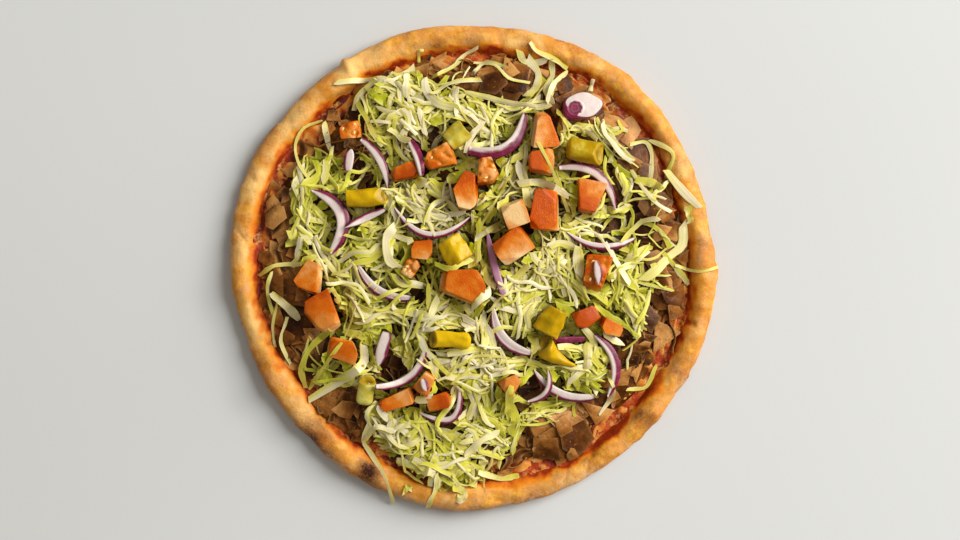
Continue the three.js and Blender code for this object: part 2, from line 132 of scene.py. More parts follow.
def smoothLine(points, steps):
    # a Catmull-Rom line through the points
    p = np.array(points, float)
    p = np.vstack([2 * p[0] - p[1], p, 2 * p[-1] - p[-2]])
    t = np.linspace(0, 1, steps, endpoint=False)[:, None]
    parts = []
    for a, b, c, d in zip(p, p[1:], p[2:], p[3:]):
        parts.append(0.5 * (2 * b + (c - a) * t + (2 * a - 5 * b + 4 * c - d) * t**2
                            + (3 * b - a - 3 * c + d) * t**3))
    return np.vstack(parts + [p[-2:-1]])


def makeMesh(name, points, quads, marks=None, triangles=None, sharpAngle=None):
    mesh = bpy.data.meshes.new(name)
    quads = np.asarray(quads, np.int32).reshape(-1, 4)
    triangles = np.zeros((0, 3), np.int32) if triangles is None else np.asarray(triangles, np.int32)
    corners = np.concatenate([quads.ravel(), triangles.ravel()])
    sizes = np.concatenate([np.full(len(quads), 4), np.full(len(triangles), 3)])
    mesh.vertices.add(len(points))
    mesh.vertices.foreach_set("co", (np.asarray(points) * mm).astype(np.float32).ravel())
    mesh.loops.add(len(corners))
    mesh.loops.foreach_set("vertex_index", corners.astype(np.int32))
    mesh.polygons.add(len(sizes))
    mesh.polygons.foreach_set("loop_start", (np.cumsum(sizes) - sizes).astype(np.int32))
    mesh.polygons.foreach_set("use_smooth", np.ones(len(sizes), bool))
    mesh.update(calc_edges=True)
    for key, values in (marks or {}).items():
        layer = mesh.attributes.new(key, "FLOAT", "POINT")
        layer.data.foreach_set("value", np.asarray(values, np.float32).ravel())
    mesh.validate()
    if sharpAngle:
        mesh.set_sharp_from_angle(angle=sharpAngle * degree)
    return mesh


def gridQuads(rows, columns, closedRows=False, closedColumns=True, first=0):
    rowIndex = np.arange(rows if closedRows else rows - 1)
    columnIndex = np.arange(columns if closedColumns else columns - 1)
    r, c = np.meshgrid(rowIndex, columnIndex, indexing="ij")
    nextRow, nextColumn = (r + 1) % rows, (c + 1) % columns
    corners = [a * columns + b for a, b in ((r, c), (r, nextColumn), (nextRow, nextColumn), (nextRow, c))]
    return np.stack(corners, axis=-1).reshape(-1, 4) + first


def endFans(rows, columns):
    # closes the first and the last row of a tube
    k = np.arange(0, columns - 3, 2)
    fan = np.stack([0 * k, k + 1, k + 2, k + 3], axis=-1)
    return np.vstack([fan, fan[:, ::-1] + (rows - 1) * columns])


def addPiece(name, mesh, finish, slot, *nodes):
    piece = bpy.data.objects.new(name, mesh)
    bpy.context.scene.collection.objects.link(piece)
    mesh.materials.append(finish)
    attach(piece, "root")
    if nodes:
        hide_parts(*nodes)
    return piece


def roundLayer(name, rings, columns, shape, marks):
    # rings is the (r, z) profile from pole to pole; shape bends it, and marks says what the finish reads
    angle = np.linspace(-math.pi, math.pi, columns, endpoint=False)
    r, a = np.meshgrid(rings[1:-1, 0], angle, indexing="ij")
    z = np.repeat(rings[1:-1, 1:2], columns, axis=1)
    points = shape(r, z, a)
    last = len(points) * columns
    poles = np.array([[0, 0, rings[0, 1]], [0, 0, rings[-1, 1]]])
    marked = {key: np.concatenate([values.ravel(), [values[0].mean(), values[-1].mean()]])
              for key, values in marks(points, r, z, a).items()}
    c = np.arange(columns)
    lower = np.stack([np.full(columns, last), (c + 1) % columns, c], axis=-1)
    top = (len(points) - 1) * columns
    upper = np.stack([np.full(columns, last + 1), top + c, top + (c + 1) % columns], axis=-1)
    allPoints = np.vstack([points.reshape(-1, 3), poles])
    return makeMesh(name, allPoints, gridQuads(len(points), columns), marked, np.vstack([lower, upper]))


class Batch:
    # gathers many small meshes into one
    def __init__(self):
        self.points, self.quads, self.marks, self.count = [], [], {}, 0

    def add(self, points, quads, **marks):
        self.points.append(points)
        self.quads.append(quads + self.count)
        for key, values in marks.items():
            self.marks.setdefault(key, []).append(np.broadcast_to(values, (len(points),)))
        self.count += len(points)

    def mesh(self, name, sharpAngle=None):
        marks = {key: np.concatenate(values) for key, values in self.marks.items()}
        return makeMesh(name, np.vstack(self.points), np.vstack(self.quads), marks, sharpAngle=sharpAngle)


def tint(code):
    # photograph colours are written as sRGB hex
    channels = [int(code[i:i + 2], 16) / 255 for i in (0, 2, 4)]
    return [c / 12.92 if c <= 0.04045 else ((c + 0.055) / 1.055) ** 2.4 for c in channels] + [1]


class Finish:
    def __init__(self, name, **sockets):
        self.material = bpy.data.materials.new(name)
        self.material.use_nodes = True
        self.tree = self.material.node_tree
        self.tree.nodes.clear()
        self.output = self.node("OutputMaterial")
        self.skin = self.node("BsdfPrincipled", **sockets)
        self.join(self.skin.outputs["BSDF"], self.output.inputs["Surface"])
        self.place = self.node("TexCoord").outputs["Object"]

    def join(self, source, socket):
        self.tree.links.new(source, socket)

    def feed(self, socket, value):
        if isinstance(value, bpy.types.NodeSocket):
            self.join(value, socket)
        else:
            socket.default_value = tint(value) if isinstance(value, str) else value

    def node(self, kind, **inputs):
        node = self.tree.nodes.new("ShaderNode" + kind)
        for key, value in inputs.items():
            self.feed(node.inputs[key.replace("_", " ")], value)
        return node

    def mark(self, name):
        node = self.node("Attribute")
        node.attribute_name = name
        return node.outputs["Fac"]

    def noise(self, size, detail=3, rough=0.55):
        # size is the width of a speck in millimetres
        node = self.node("TexNoise", Vector=self.place, Scale=1 / (size * mm), Detail=detail, Roughness=rough)
        return node.outputs["Fac"]

    def ramp(self, source, stops):
        node = self.node("ValToRGB", Fac=source)
        elements = node.color_ramp.elements
        while len(elements) < len(stops):
            elements.new(0.5)
        for element, (at, color) in zip(elements, stops):
            element.position = at
            element.color = tint(color) if isinstance(color, str) else [color, color, color, 1]
        return node.outputs["Color"]

    def mix(self, share, first, second):
        node = self.node("Mix")
        node.data_type = "RGBA"
        node.clamp_factor = True
        for socket, value in ((0, share), (6, first), (7, second)):
            self.feed(node.inputs[socket], value)
        return node.outputs[2]

    def patches(self, base, source, low, high, share, color):
        # the colour covers the base by up to this share where the source is high
        return self.mix(self.ramp(source, [(low, 0.0), (high, share)]), base, color)

    def sum(self, first, second, way="ADD"):
        node = self.node("Math")
        node.operation = way
        self.feed(node.inputs[0], first)
        self.feed(node.inputs[1], second)
        return node.outputs[0]

    def times(self, source, share):
        return self.sum(source, share, "MULTIPLY")

    def blend(self, first, share, second, other):
        return self.sum(self.times(first, share), self.times(second, other))

    def swing(self, source, share):
        # how far the source is above or below its middle
        return self.times(self.sum(source, -0.5), share)

    def stripes(self, often, sway):
        # lines along a strip, from its mark of how far out across it each point lies
        place = self.blend(self.mark("grain"), often, self.noise(5), sway)
        return self.times(self.sum(place, 0, "SINE"), 0.35)

    def glowThrough(self, color, share):
        # thin leaf: part of the light comes through from the other side
        through = self.node("BsdfTranslucent", Color=color)
        both = self.node("MixShader", Fac=share)
        self.join(self.skin.outputs["BSDF"], both.inputs[1])
        self.join(through.outputs["BSDF"], both.inputs[2])
        self.join(both.outputs["Shader"], self.output.inputs["Surface"])

    def done(self, color, dull, low, high, height, depth):
        # colour, then how dull it is between low and high, then relief of this depth in millimetres
        rough = self.node("MapRange", Value=dull, To_Min=low, To_Max=high).outputs["Result"]
        relief = self.node("Bump", Strength=1, Distance=depth * mm, Height=height).outputs["Normal"]
        for socket, source in (("Base Color", color), ("Roughness", rough), ("Normal", relief)):
            self.join(source, self.skin.inputs[socket])
        return self.material


view = {
    "film": 36,             # width of the camera's own picture, in millimetres
    "height": 1.3,          # of the camera over the floor, in metres
    "middle": (4.2, -3.0),  # what the centre of the picture looks at
    "width": 635.5,         # of the picture, at the height of the rim
    "rimHeight": 8.0,
}


def setUpView():
    camera = bpy.data.objects.new("camera", bpy.data.cameras.new("camera"))
    bpy.context.scene.collection.objects.link(camera)
    camera.location = (view["middle"][0] * mm, view["middle"][1] * mm, view["height"])
    camera.data.sensor_width = view["film"]
    camera.data.lens = view["film"] * (view["height"] - view["rimHeight"] * mm) / (view["width"] * mm)
    camera.data.clip_end = 20
    bpy.context.scene.camera = camera
    bpy.context.scene.view_settings.view_transform = "Standard"


def addLamp(name, place, size, power, color):
    lamp = bpy.data.lights.new(name, "AREA")
    lamp.size = size
    lamp.energy = power
    lamp.color = color
    holder = bpy.data.objects.new(name, lamp)
    holder.location = place
    holder.rotation_euler = (-Vector(place)).to_track_quat("-Z", "Y").to_euler()
    bpy.context.scene.collection.objects.link(holder)


lights = {
    "window": {"place": (2.9, 1.48, 2.62), "size": 2.7, "power": 222, "color": (1, 0.99, 0.97)},
    "sill": {"place": (3.05, 1.42, 1.03), "size": 1.6, "power": 50, "color": (1, 0.98, 0.95)},
    "sky": 0.32,
    "skyColor": (1, 0.94, 0.86, 1),
}


def setUpLights():
    for name in ("window", "sill"):
        addLamp(name, **lights[name])
    world = bpy.data.worlds.new("studio")
    world.use_nodes = True
    sky = world.node_tree.nodes["Background"].inputs
    sky["Color"].default_value, sky["Strength"].default_value = lights["skyColor"], lights["sky"]
    bpy.context.scene.world = world


def layFloor():
    span = 3000
    points = [(-span, -span, 0), (span, -span, 0), (span, span, 0), (-span, span, 0)]
    floor = bpy.data.objects.new("tableTop", makeMesh("tableTop", np.array(points), [(0, 1, 2, 3)]))
    finish = Finish("paleTable", Roughness=0.55)
    cloud = finish.ramp(finish.noise(900, 2), [(0.3, "cacccb"), (0.7, "d2d4d3")])
    finish.join(cloud, finish.skin.inputs["Base Color"])
    floor.data.materials.append(finish.material)
    bpy.context.scene.collection.objects.link(floor)


setUpView()
setUpLights()
layFloor()
print("camera, lights and floor are up")

crust = {
    "ridge": 150,  # radius of the middle of the rim, and of its inner foot
    "foot": 145,
    "columns": 660,
    "profile": [(0, 0), (70, 0), (125, 0), (146, 0), (152.5, 0.7), (157.3, 2.8), (159.9, 6.4), (159.4, 9.9),
                (156.7, 12.8), (152.2, 14.2), (148, 13.2), (144.8, 10.4), (142.2, 7.4), (139.8, 5.7),
                (136, 5), (110, 5), (50, 5), (0, 5)],
    "steps": 5,
    "lumps": [(36, 0.9, 1), (15, 0.55, 2), (7, 0.2, 3), (3.5, 0.06, 4)],  # wavelength, height and seed
    "blisters": 60,
    "creases": 64,
    "fold": {"angle": 122.5, "width": 1.1, "out": 2.0, "up": 0.8},
    # browned spots: angle, radius, size, strength
    "scorches": [(76.5, 146, 9, 0.9), (243, 150, 10, 1.0), (5, 149, 8, 0.55), (32, 151, 7, 0.45),
                 (318, 150, 10, 0.5), (332, 153, 7, 0.45), (285, 156, 14, 0.4), (228, 157, 16, 0.55),
                 (205, 158, 12, 0.35), (62, 156, 9, 0.35), (146, 154, 9, 0.3), (98, 147, 7, 0.5),
                 (350, 146, 6, 0.5), (302, 147, 7, 0.6), (171, 147, 8, 0.35), (116, 146, 7, 0.5)],
    "puddles": [(296, 140, 9), (311, 140, 12), (322, 139, 8), (188, 143, 5), (84, 142, 7)],
}


def rimHeightAt(x, y):
    # height of the bare crust at a place in plan
    angle, radius = np.arctan2(y, x), np.hypot(x, y)
    own = radius - waves(angle, pizza["edgeWaves"])
    own = own - waves(angle, pizza["widthWaves"]) * rampUp(-own, -156, -147)
    side = crust["profile"][5:15][::-1]
    inner = np.interp(own, [p[0] for p in side[:-2]] + [161.5], [p[1] for p in side[:-2]] + [0])
    return inner + waves(angle, pizza["crestWaves"]) * rampUp(inner, 5.5, 14)


def shapeCrust(r, z, angle):
    edge = waves(angle, pizza["edgeWaves"]) * rampUp(r, 60, 139)
    width = waves(angle, pizza["widthWaves"]) * rampUp(r, 100, 139) * rampUp(-r, -156, -147)
    radius = r + edge + width
    height = z + waves(angle, pizza["crestWaves"]) * rampUp(z, 5.5, 14)
    points = polar(radius, angle, height)
    out, rise = r - 151.5, z - 6.5
    size = np.hypot(out, rise) + 1e-6
    onRim = rampUp(r, 138, 146) * rampUp(z, 0.2, 3.5)
    swell = sum(tall * ripple(points, length, seed) for length, tall, seed in crust["lumps"])
    rng = np.random.default_rng(5)
    for _ in range(crust["blisters"]):
        at, across = rng.uniform(-math.pi, math.pi), rng.uniform(143, 158)
        wide, tall = rng.uniform(2.2, 6.5), rng.uniform(0.3, 1.1)
        gap = np.hypot(turnFrom(angle, at) * crust["ridge"] * rng.uniform(0.5, 1), r - across) / wide
        swell = swell + tall * np.exp(-gap**2) * rampUp(z, 6, 9)
    for _ in range(crust["creases"]):
        at, across, slant = rng.uniform(-math.pi, math.pi), rng.uniform(144, 158), rng.normal(0, 0.5)
        wide, long, deep = rng.uniform(0.9, 2.2), rng.uniform(3, 8), rng.uniform(0.25, 0.8)
        turn = turnFrom(angle, at) * crust["ridge"] + slant * (r - across)
        swell = swell - deep * np.exp(-(turn / wide) ** 2 - ((r - across) / long) ** 4) * rampUp(z, 4, 8)
    fold = crust["fold"]
    turn = (angle - fold["angle"] * degree) / (fold["width"] * degree)
    bulge = np.exp(-turn**2)
    swell = swell * onRim + bulge * fold["out"] * rampUp(r, 148, 158) * rampUp(z, 1, 6)
    radius = radius + swell * out / size
    height = height + swell * rise / size + bulge * fold["up"] * rampUp(z, 8, 14)
    return polar(radius, angle, np.maximum(height, 0))


def markCrust(points, r, z, angle):
    patch = ripple(points, 27, 21)
    fine = ripple(points, 7, 22)
    brown = 0.13 + 0.16 * patch + 0.14 * fine
    brown = brown + 0.5 * rampUp(-z, -5, -1) * (r > 140) + 0.2 * rampUp(r, 153, 159)
    for at, radius, size, strength in crust["scorches"]:
        gap = np.hypot(turnFrom(angle, at * degree) * crust["ridge"], r - radius) / size
        brown = brown + 0.75 * strength * np.exp(-(gap * (1 + 0.35 * fine)) ** 2)
    inner = rampUp(-(r + 2.2 * patch + 1.6 * fine), -149.5, -141.5)
    for at, radius, size in crust["puddles"]:
        far = turnFrom(angle, at * degree) * crust["foot"] / size
        inner = inner + 0.5 * np.exp(-(far**2)) * rampUp(-r, -150, -143)
    # pale is partly paler dough and partly a painted highlight, on the upper rim and most towards the left
    pale = 0.35 * np.cos(angle - 172 * degree) + 0.6 * ripple(points, 33, 23)
    pale = rampUp(pale + 0.35 * ripple(points, 12, 25) + 0.2 * fine, -0.2, 1.1) * rampUp(z, 4, 12)
    flour = softStep(ripple(points, 40, 24) + np.cos(angle - 250 * degree), 0.5, 1.5) * rampUp(r, 154, 159)
    return {"brown": np.clip(brown, 0, 1), "stain": np.clip(inner, 0, 1), "pale": pale, "flour": flour}


def crustFinish():
    finish = Finish("bakedCrust", Specular_IOR_Level=0.2)
    speck = finish.noise(1.4, 4, 0.7)
    grain = finish.noise(8, 5, 0.62)
    dough = finish.patches("e0983a", grain, 0.32, 0.7, 1.0, "c47c26")
    dough = finish.patches(dough, finish.noise(13, 3, 0.6), 0.46, 0.62, 0.7, "dca264")
    dough = finish.patches(dough, finish.noise(9, 3, 0.6), 0.5, 0.66, 0.8, "f0b040")
    dough = finish.patches(dough, finish.noise(0.9, 2, 0.6), 0.6, 0.7, 0.5, "8e4c12")
    # partly a painted highlight: the pale mark lightens the upper rim towards f4c678
    palest = finish.sum(finish.mark("pale"), finish.swing(grain, 1.4))
    dough = finish.patches(dough, palest, 0.1, 0.8, 0.85, "f4c678")
    brownSpots = finish.sum(finish.mark("brown"), finish.swing(speck, 0.7))
    browned = finish.ramp(brownSpots, [(0.0, 0.0), (0.22, 0.08), (0.55, 0.6), (0.95, 1.0)])
    crusty = finish.ramp(brownSpots, [(0.2, "c87a30"), (0.5, "9e5820"), (0.8, "643010"), (1.0, "351708")])
    dough = finish.mix(browned, dough, crusty)
    soaked = finish.sum(finish.mark("stain"), finish.sum(grain, -0.5))
    stain = finish.ramp(soaked, [(0.1, 0.0), (0.5, 0.85), (0.9, 1.0)])
    oily = finish.ramp(soaked, [(0.2, "f0a028"), (0.5, "e4800c"), (0.75, "c25206"), (0.95, "942c04")])
    dough = finish.mix(stain, dough, oily)
    flourSpecks = finish.ramp(finish.noise(3, 4, 0.7), [(0.45, 0.0), (0.62, 1.0)])
    dusty = finish.times(finish.mark("flour"), flourSpecks)
    dough = finish.mix(finish.times(dusty, 0.45), dough, "d9c7ae")
    return finish.done(dough, grain, 0.4, 0.7, finish.blend(speck, 0.6, finish.noise(3, 3, 0.6), 0.7), 0.55)


rings = smoothLine(crust["profile"], crust["steps"])
rings[:, 1] = np.maximum(rings[:, 1], 0)
crustMesh = roundLayer("bakedCrust", rings, crust["columns"], shapeCrust, markCrust)
addPiece("bakedCrust", crustMesh, crustFinish(), "crust", "crust")
print("crust is baked")

sauce = {"level": 6.7, "reach": 143.4, "ragged": 1.3, "columns": 420}
cheese = {"level": 7.2, "reach": 141.0, "ragged": 1.6, "columns": 420}
layerRings = [0, 60, 100, 112, 118, 122, 125, 128, 130, 131.5, 133, 134.2, 135.4, 136.4, 137.4, 138.2, 139,
              139.8, 140.4, 141, 141.6, 142.2, 142.8]


def spreadLayer(name, layer, seed, height, marks):
    # a skin over the base that runs out up the inside of the rim
    far = [r * layer["reach"] / layerRings[-1] for r in layerRings]
    profile = np.array([(r, 0) for r in far] + [(r, 1) for r in far[::-1]], float)

    def shape(r, side, angle):
        reach = r + outline(angle) * rampUp(r, 60, 130)
        x, y = reach * np.cos(angle), reach * np.sin(angle)
        reach = reach + layer["ragged"] * ripple(plan(x, y), 13, seed) * rampUp(r, 125, 140)
        x, y = reach * np.cos(angle), reach * np.sin(angle)
        ground = rimHeightAt(x, y)
        rise = np.maximum(layer["level"], ground + 0.35) + height(x, y)
        rim = rampUp(-r, -layer["reach"], -layer["reach"] + 2.2)
        rise = (ground - 0.5) * (1 - rim) + rise * rim
        return np.stack([x, y, np.where(side > 0.5, rise, np.minimum(5.05, rise - 0.2) + 0 * x)], axis=-1)

    return roundLayer(name, profile, layer["columns"], shape, marks)


def sauceHeight(x, y):
    return 0.35 * ripple(plan(x, y), 7, 31) + 0.2 * ripple(plan(x, y), 3, 32)


def cheeseHeight(x, y):
    blobs = ripple(plan(x, y), 11, 33) + 0.7 * ripple(plan(x, y), 5, 34)
    return 1.3 * np.clip(blobs - 0.25, -0.8, 0.9)


def sauceMarks(points, r, side, angle):
    return {"depth": 0.62 + 0.4 * ripple(points, 26, 35) + 0.25 * ripple(points, 8, 37)}


def cheeseMarks(points, r, side, angle):
    return {"toast": 0.5 + 0.5 * ripple(points, 10, 36)}


def sauceFinish():
    finish = Finish("tomatoSauce", Specular_IOR_Level=0.3)
    pulp = finish.noise(2.2, 4, 0.65)
    thick = finish.blend(finish.mark("depth"), 0.5, pulp, 0.5)
    red = finish.ramp(thick, [(0.25, "461002"), (0.5, "8e2803"), (0.68, "b83e08"), (0.88, "d98220")])
    melted = finish.ramp(pulp, [(0.35, "b86a1c"), (0.65, "e6a454")])
    red = finish.patches(red, finish.noise(6, 4, 0.62), 0.5, 0.6, 0.85, melted)
    red = finish.patches(red, finish.noise(3.4, 3, 0.6), 0.58, 0.68, 0.8, "451002")
    return finish.done(red, pulp, 0.3, 0.6, pulp, 0.7)


def cheeseFinish():
    finish = Finish("meltedCheese", Specular_IOR_Level=0.35)
    curd = finish.noise(3.5, 4, 0.6)
    toast = finish.blend(finish.mark("toast"), 0.55, curd, 0.45)
    melt = finish.ramp(toast, [(0.2, "e8b468"), (0.38, "dc9238"), (0.56, "c46a1c"), (0.74, "903c10"),
                               (0.92, "481a08")])
    return finish.done(melt, curd, 0.2, 0.45, curd, 0.6)


sauceMesh = spreadLayer("sauceLayer", sauce, 41, sauceHeight, sauceMarks)
addPiece("sauceLayer", sauceMesh, sauceFinish(), "tomato_sauce", "tomato_sauce")
cheeseMesh = spreadLayer("cheeseLayer", cheese, 42, cheeseHeight, cheeseMarks)
addPiece("cheeseLayer", cheeseMesh, cheeseFinish(), "melted_cheese", "melted_cheese")
print("sauce and cheese are spread")


# the pile holds one height for each cell of the plan, of all that is laid so far
cellSize = 0.8
pileHalf = 176
pileCells = int(2 * pileHalf / cellSize)
cellAxis = (np.arange(pileCells) + 0.5) * cellSize - pileHalf
gridX, gridY = np.meshgrid(cellAxis, cellAxis, indexing="ij")
pile = np.where(np.hypot(gridX, gridY) < 162, rimHeightAt(gridX, gridY), 0.0)
pile = np.maximum(pile, np.where(np.hypot(gridX, gridY) < 139, cheese["level"] + 0.8, 0))
topped = np.zeros(pile.shape, bool)  # the cells that toppings cover


def cellsOf(x, y):
    return (np.clip(((np.asarray(x) + pileHalf) / cellSize).astype(int), 0, pileCells - 1),
            np.clip(((np.asarray(y) + pileHalf) / cellSize).astype(int), 0, pileCells - 1))


def pileAt(x, y):
    return pile[cellsOf(x, y)]


def heapReach(angle):
    return heap["radius"] - heap["lobe"] * np.cos(4 * angle) + waves(angle, heap["edgeWaves"])


def moundTop(x, y):
    crown = 1 - np.minimum(1, np.hypot(x, y) / heapReach(np.arctan2(y, x))) ** 2
    lumps = 1.5 * np.sin(x / 13 + 1) * np.cos(y / 11) + 0.9 * np.sin((x + y) / 8 + 2)
    rise = heap["crownHeight"] - heap["edgeHeight"]
    return heap["edgeHeight"] + rise * crown + lumps * rampUp(crown, 0, 0.35)


salad = {
    # how far it reaches from the middle, every 7.5 degrees from +X
    "edge": [
        132, 134, 136, 138, 136, 138, 134, 124, 114, 136, 124, 124, 130, 132, 134, 138, 138, 132, 110,
        126, 134, 128, 122, 122, 124, 120, 114, 122, 134, 132, 110, 114, 132, 136, 146, 148, 146, 140,
        119, 115, 117, 120, 122, 122, 126, 122, 121, 130],
    # places where it lies thin and the meat shows: x, y, radius
    "gaps": [
        (23, 117, 14), (3, 115, 7), (-25, 132, 12), (64, 117, 9), (98, 104, 8), (116, 63, 12),
        (109, 32, 11), (92, 28, 7), (83, 24, 5), (127, -28, 13), (118, -52, 10), (135, -4, 6),
        (-27, 82, 6), (-16, 58, 7), (-27, 43, 5), (8, 17, 6), (36, 24, 5), (-91, 85, 11), (-111, 86, 8),
        (-133, 45, 9), (-131, 26, 10), (-134, 9, 8), (-122, -13, 9), (-124, -41, 11), (-98, -52, 5),
        (-36, -20, 6), (-51, -41, 5), (-53, -67, 10), (-83, -99, 13), (-57, -130, 9), (42, -121, 17),
        (14, -134, 9), (62, -108, 8), (90, -91, 10), (72, -91, 5), (53, -61, 5), (40, -78, 5),
        (29, -93, 5), (-72, 52, 5), (51, 91, 4)],
    # sectors where it is airy from a radius outwards: from and to in degrees, radius
    "airy": [(-10, 42, 104), (55, 88, 112), (172, 212, 102), (132, 146, 96)],
    "tries": 12,     # for each strand
    "places": 6,     # looked at in each try; the emptiest is taken
    "reach": 150,    # how far from the middle a strand lies at most
    "stray": [1, 3, 14],           # how far it may hang out over the edge of the salad
    "overlap": [0, 0, 0, 0, 0.2],  # the share of it that may lie on toppings
}


def saladEdge(angle):
    edge = salad["edge"]
    steps = np.asarray(angle) / (360 / len(edge) * degree) % len(edge)
    return np.interp(steps, np.arange(len(edge) + 1), edge + edge[:1])


def walk(rng, x, y, heading, length, stations, curl, wiggle):
    # plan of a strand: a bent line through its middle (x, y)
    s = np.linspace(-0.5, 0.5, stations)
    bends = rng.normal(0, 0.6, stations) * (rng.uniform(size=stations) < 0.07)
    kinks = np.cumsum(rng.normal(0, 0.1, stations) + bends)
    turn = heading + curl * s + wiggle * np.sin(s * rng.uniform(5, 11) + rng.uniform(0, 6)) + kinks
    step = length / (stations - 1)
    px, py = np.cumsum(np.cos(turn)) * step, np.cumsum(np.sin(turn)) * step
    middle = stations // 2
    return x + px - px[middle], y + py - py[middle]


def layOn(px, py, halfWidth, stiffness, clearance):
    # heights of a limp strand laid on the pile, and the way along it
    sideX, sideY = (way * halfWidth for way in sideways(px, py))
    under = np.sort([pileAt(px + k * sideX, py + k * sideY) for k in (-0.9, 0, 0.9)], axis=0)
    under = 0.7 * under[2] + 0.3 * under[1]
    along = np.concatenate([[0], np.cumsum(np.hypot(np.diff(px), np.diff(py)))])
    tent = np.max(under[None, :] - stiffness * np.abs(along[:, None] - along[None, :]), axis=1)
    smooth = np.convolve(np.pad(tent, 1, mode="edge"), [0.25, 0.5, 0.25], mode="valid")
    return np.maximum(smooth, tent - 0.5) + clearance, along


def ribbon(line, halfWidths, thickness, roll, columns, cup, frill, ragged, slant):
    # a closed thin strip; returns its points (rings of top and bottom), quads, and marks along and across
    n = len(line)
    along, side, lift = axesAlong(line, np.broadcast_to(roll, n)[:, None])
    a = np.linspace(-1, 1, columns + 1)
    reach = a[None, :] * np.asarray(halfWidths)[:, None]
    reach = reach + ragged * (np.abs(a) > 0.99)[None, :] * np.sign(a)[None, :]
    rise = cup * np.asarray(halfWidths)[:, None] * a[None, :] ** 2 + frill * np.abs(a[None, :]) ** 1.4
    middle = line[:, None, :] + side[:, None, :] * reach[..., None] + lift[:, None, :] * rise[..., None]
    cut = slant * np.abs(np.linspace(-1, 1, n)) ** 6  # the ends are cut off at a slant
    middle += along[:, None, :] * (reach * cut[:, None])[..., None]
    half = 0.5 * thickness * (1 - 0.45 * np.abs(a) ** 4)[None, :, None] * lift[:, None, :]
    rings = np.concatenate([middle + half, (middle - half)[:, ::-1]], axis=1)
    ring = 2 * (columns + 1)
    quads = gridQuads(n, ring)
    j = np.arange(columns)
    cap = np.stack([j, ring - 1 - j, ring - 2 - j, j + 1], axis=-1)
    quads = np.vstack([quads[:, ::-1], cap[:, ::-1], cap + (n - 1) * ring])
    t = np.repeat(np.linspace(0, 1, n), ring)
    across = np.tile(np.concatenate([a, a[::-1]]), n)
    return rings.reshape(-1, 3), quads, t, across


def raisePile(line, halfWidths, roll, thickness):
    # marks the strand's own upper side in the pile
    fine = np.linspace(0, len(line) - 1, 2 * len(line))
    at = np.stack([np.interp(fine, np.arange(len(line)), line[:, k]) for k in range(3)], axis=1)
    width = np.interp(fine, np.arange(len(line)), halfWidths)
    lean = np.interp(fine, np.arange(len(line)), np.broadcast_to(roll, len(line)))
    sideX, sideY = sideways(at[:, 0], at[:, 1])
    for k in np.linspace(-1, 1, max(3, int(2 * halfWidths.max() / cellSize) + 1)):
        x = at[:, 0] + sideX * width * k * np.cos(lean)
        y = at[:, 1] + sideY * width * k * np.cos(lean)
        top = at[:, 2] + width * k * np.sin(lean) + thickness * 0.5
        np.maximum.at(pile, cellsOf(x, y), top)


# a lumpy bed of meat lies under the salad, with shaved slices over it
meat = {
    "bedDrop": 11.0,   # the bed lies this far under the top of the salad
    "sheets": {"count": 300, "radius": (8, 18), "corners": (3, 7), "thickness": 0.9, "sectors": 16,
               # from the middle out: where its rings of points lie, how thick it is, how much takes the paler
               # edge colour, partly a painted highlight
               "rings": [0.2, 0.52, 0.8, 0.94, 1.0], "thinning": [1, 1, 0.95, 0.8, 0.45],
               "rim": [0, 0, 0.1, 0.5, 1]},
    "shreds": {"count": 240, "length": (9, 30), "width": (1.8, 6), "thickness": 0.9, "columns": 3},
    "tries": 30,       # for each slice, which gets smaller by this share from one try to the next
    "shrink": 0.012,
    "within": 143,     # radius that its middle stays inside
    "bareFrom": 94,    # from here out the slices show
    "deep": 6.5,       # under the salad they stay this far below its top
    "highest": 19.5,   # and beyond it no slice starts higher than this
    "reach": [(298, 338, 136), (68, 100, 142), (0, 360, 145)],  # how far out: from, to in degrees, radius
}


def bedHeight(x, y):
    radius = np.hypot(x, y)
    middle = moundTop(x, y) - meat["bedDrop"]
    rim = 9.0 + 0.9 * ripple(plan(x, y), 17, 51)
    share = softStep(radius, 92, 118)
    return middle * (1 - share) + rim * share + 0.6 * ripple(plan(x, y), 9, 52) * (radius > 20)


def underSalad(points):
    # 1 well inside the salad, 0 outside it
    x, y = points[..., 0], points[..., 1]
    return softStep(saladEdge(np.arctan2(y, x)) - np.hypot(x, y), 2, 22)


def meatBed():
    top = [(r, 1.0) for r in np.linspace(0, 136, 60)]
    profile = np.array([(0, 0.0), (60, 0.0), (120, 0.0), (137, 0.0)] + top[::-1], float)

    def shape(r, side, angle):
        reach = r * (1 + outline(angle) / crust["ridge"])
        reach = reach - 8 * (0.5 + 0.5 * np.sin(7 * angle) * np.sin(4 * angle + 1)) * rampUp(r, 106, 136)
        x, y = reach * np.cos(angle), reach * np.sin(angle)
        top = bedHeight(x, y) - 3 * rampUp(r, 132, 136)
        return np.stack([x, y, np.where(side > 0.5, top, 7.0)], axis=-1)

    def marks(points, r, side, angle):
        # deep is painted shade: the bed is darkened where it lies under the salad
        return {"char": 0.3 + 0.35 * ripple(points, 14, 53), "tone": 0.3 + 0.2 * ripple(points, 9, 54),
                "edge": 0 * r, "deep": underSalad(points)}

    return roundLayer("meatBed", profile, 220, shape, marks)


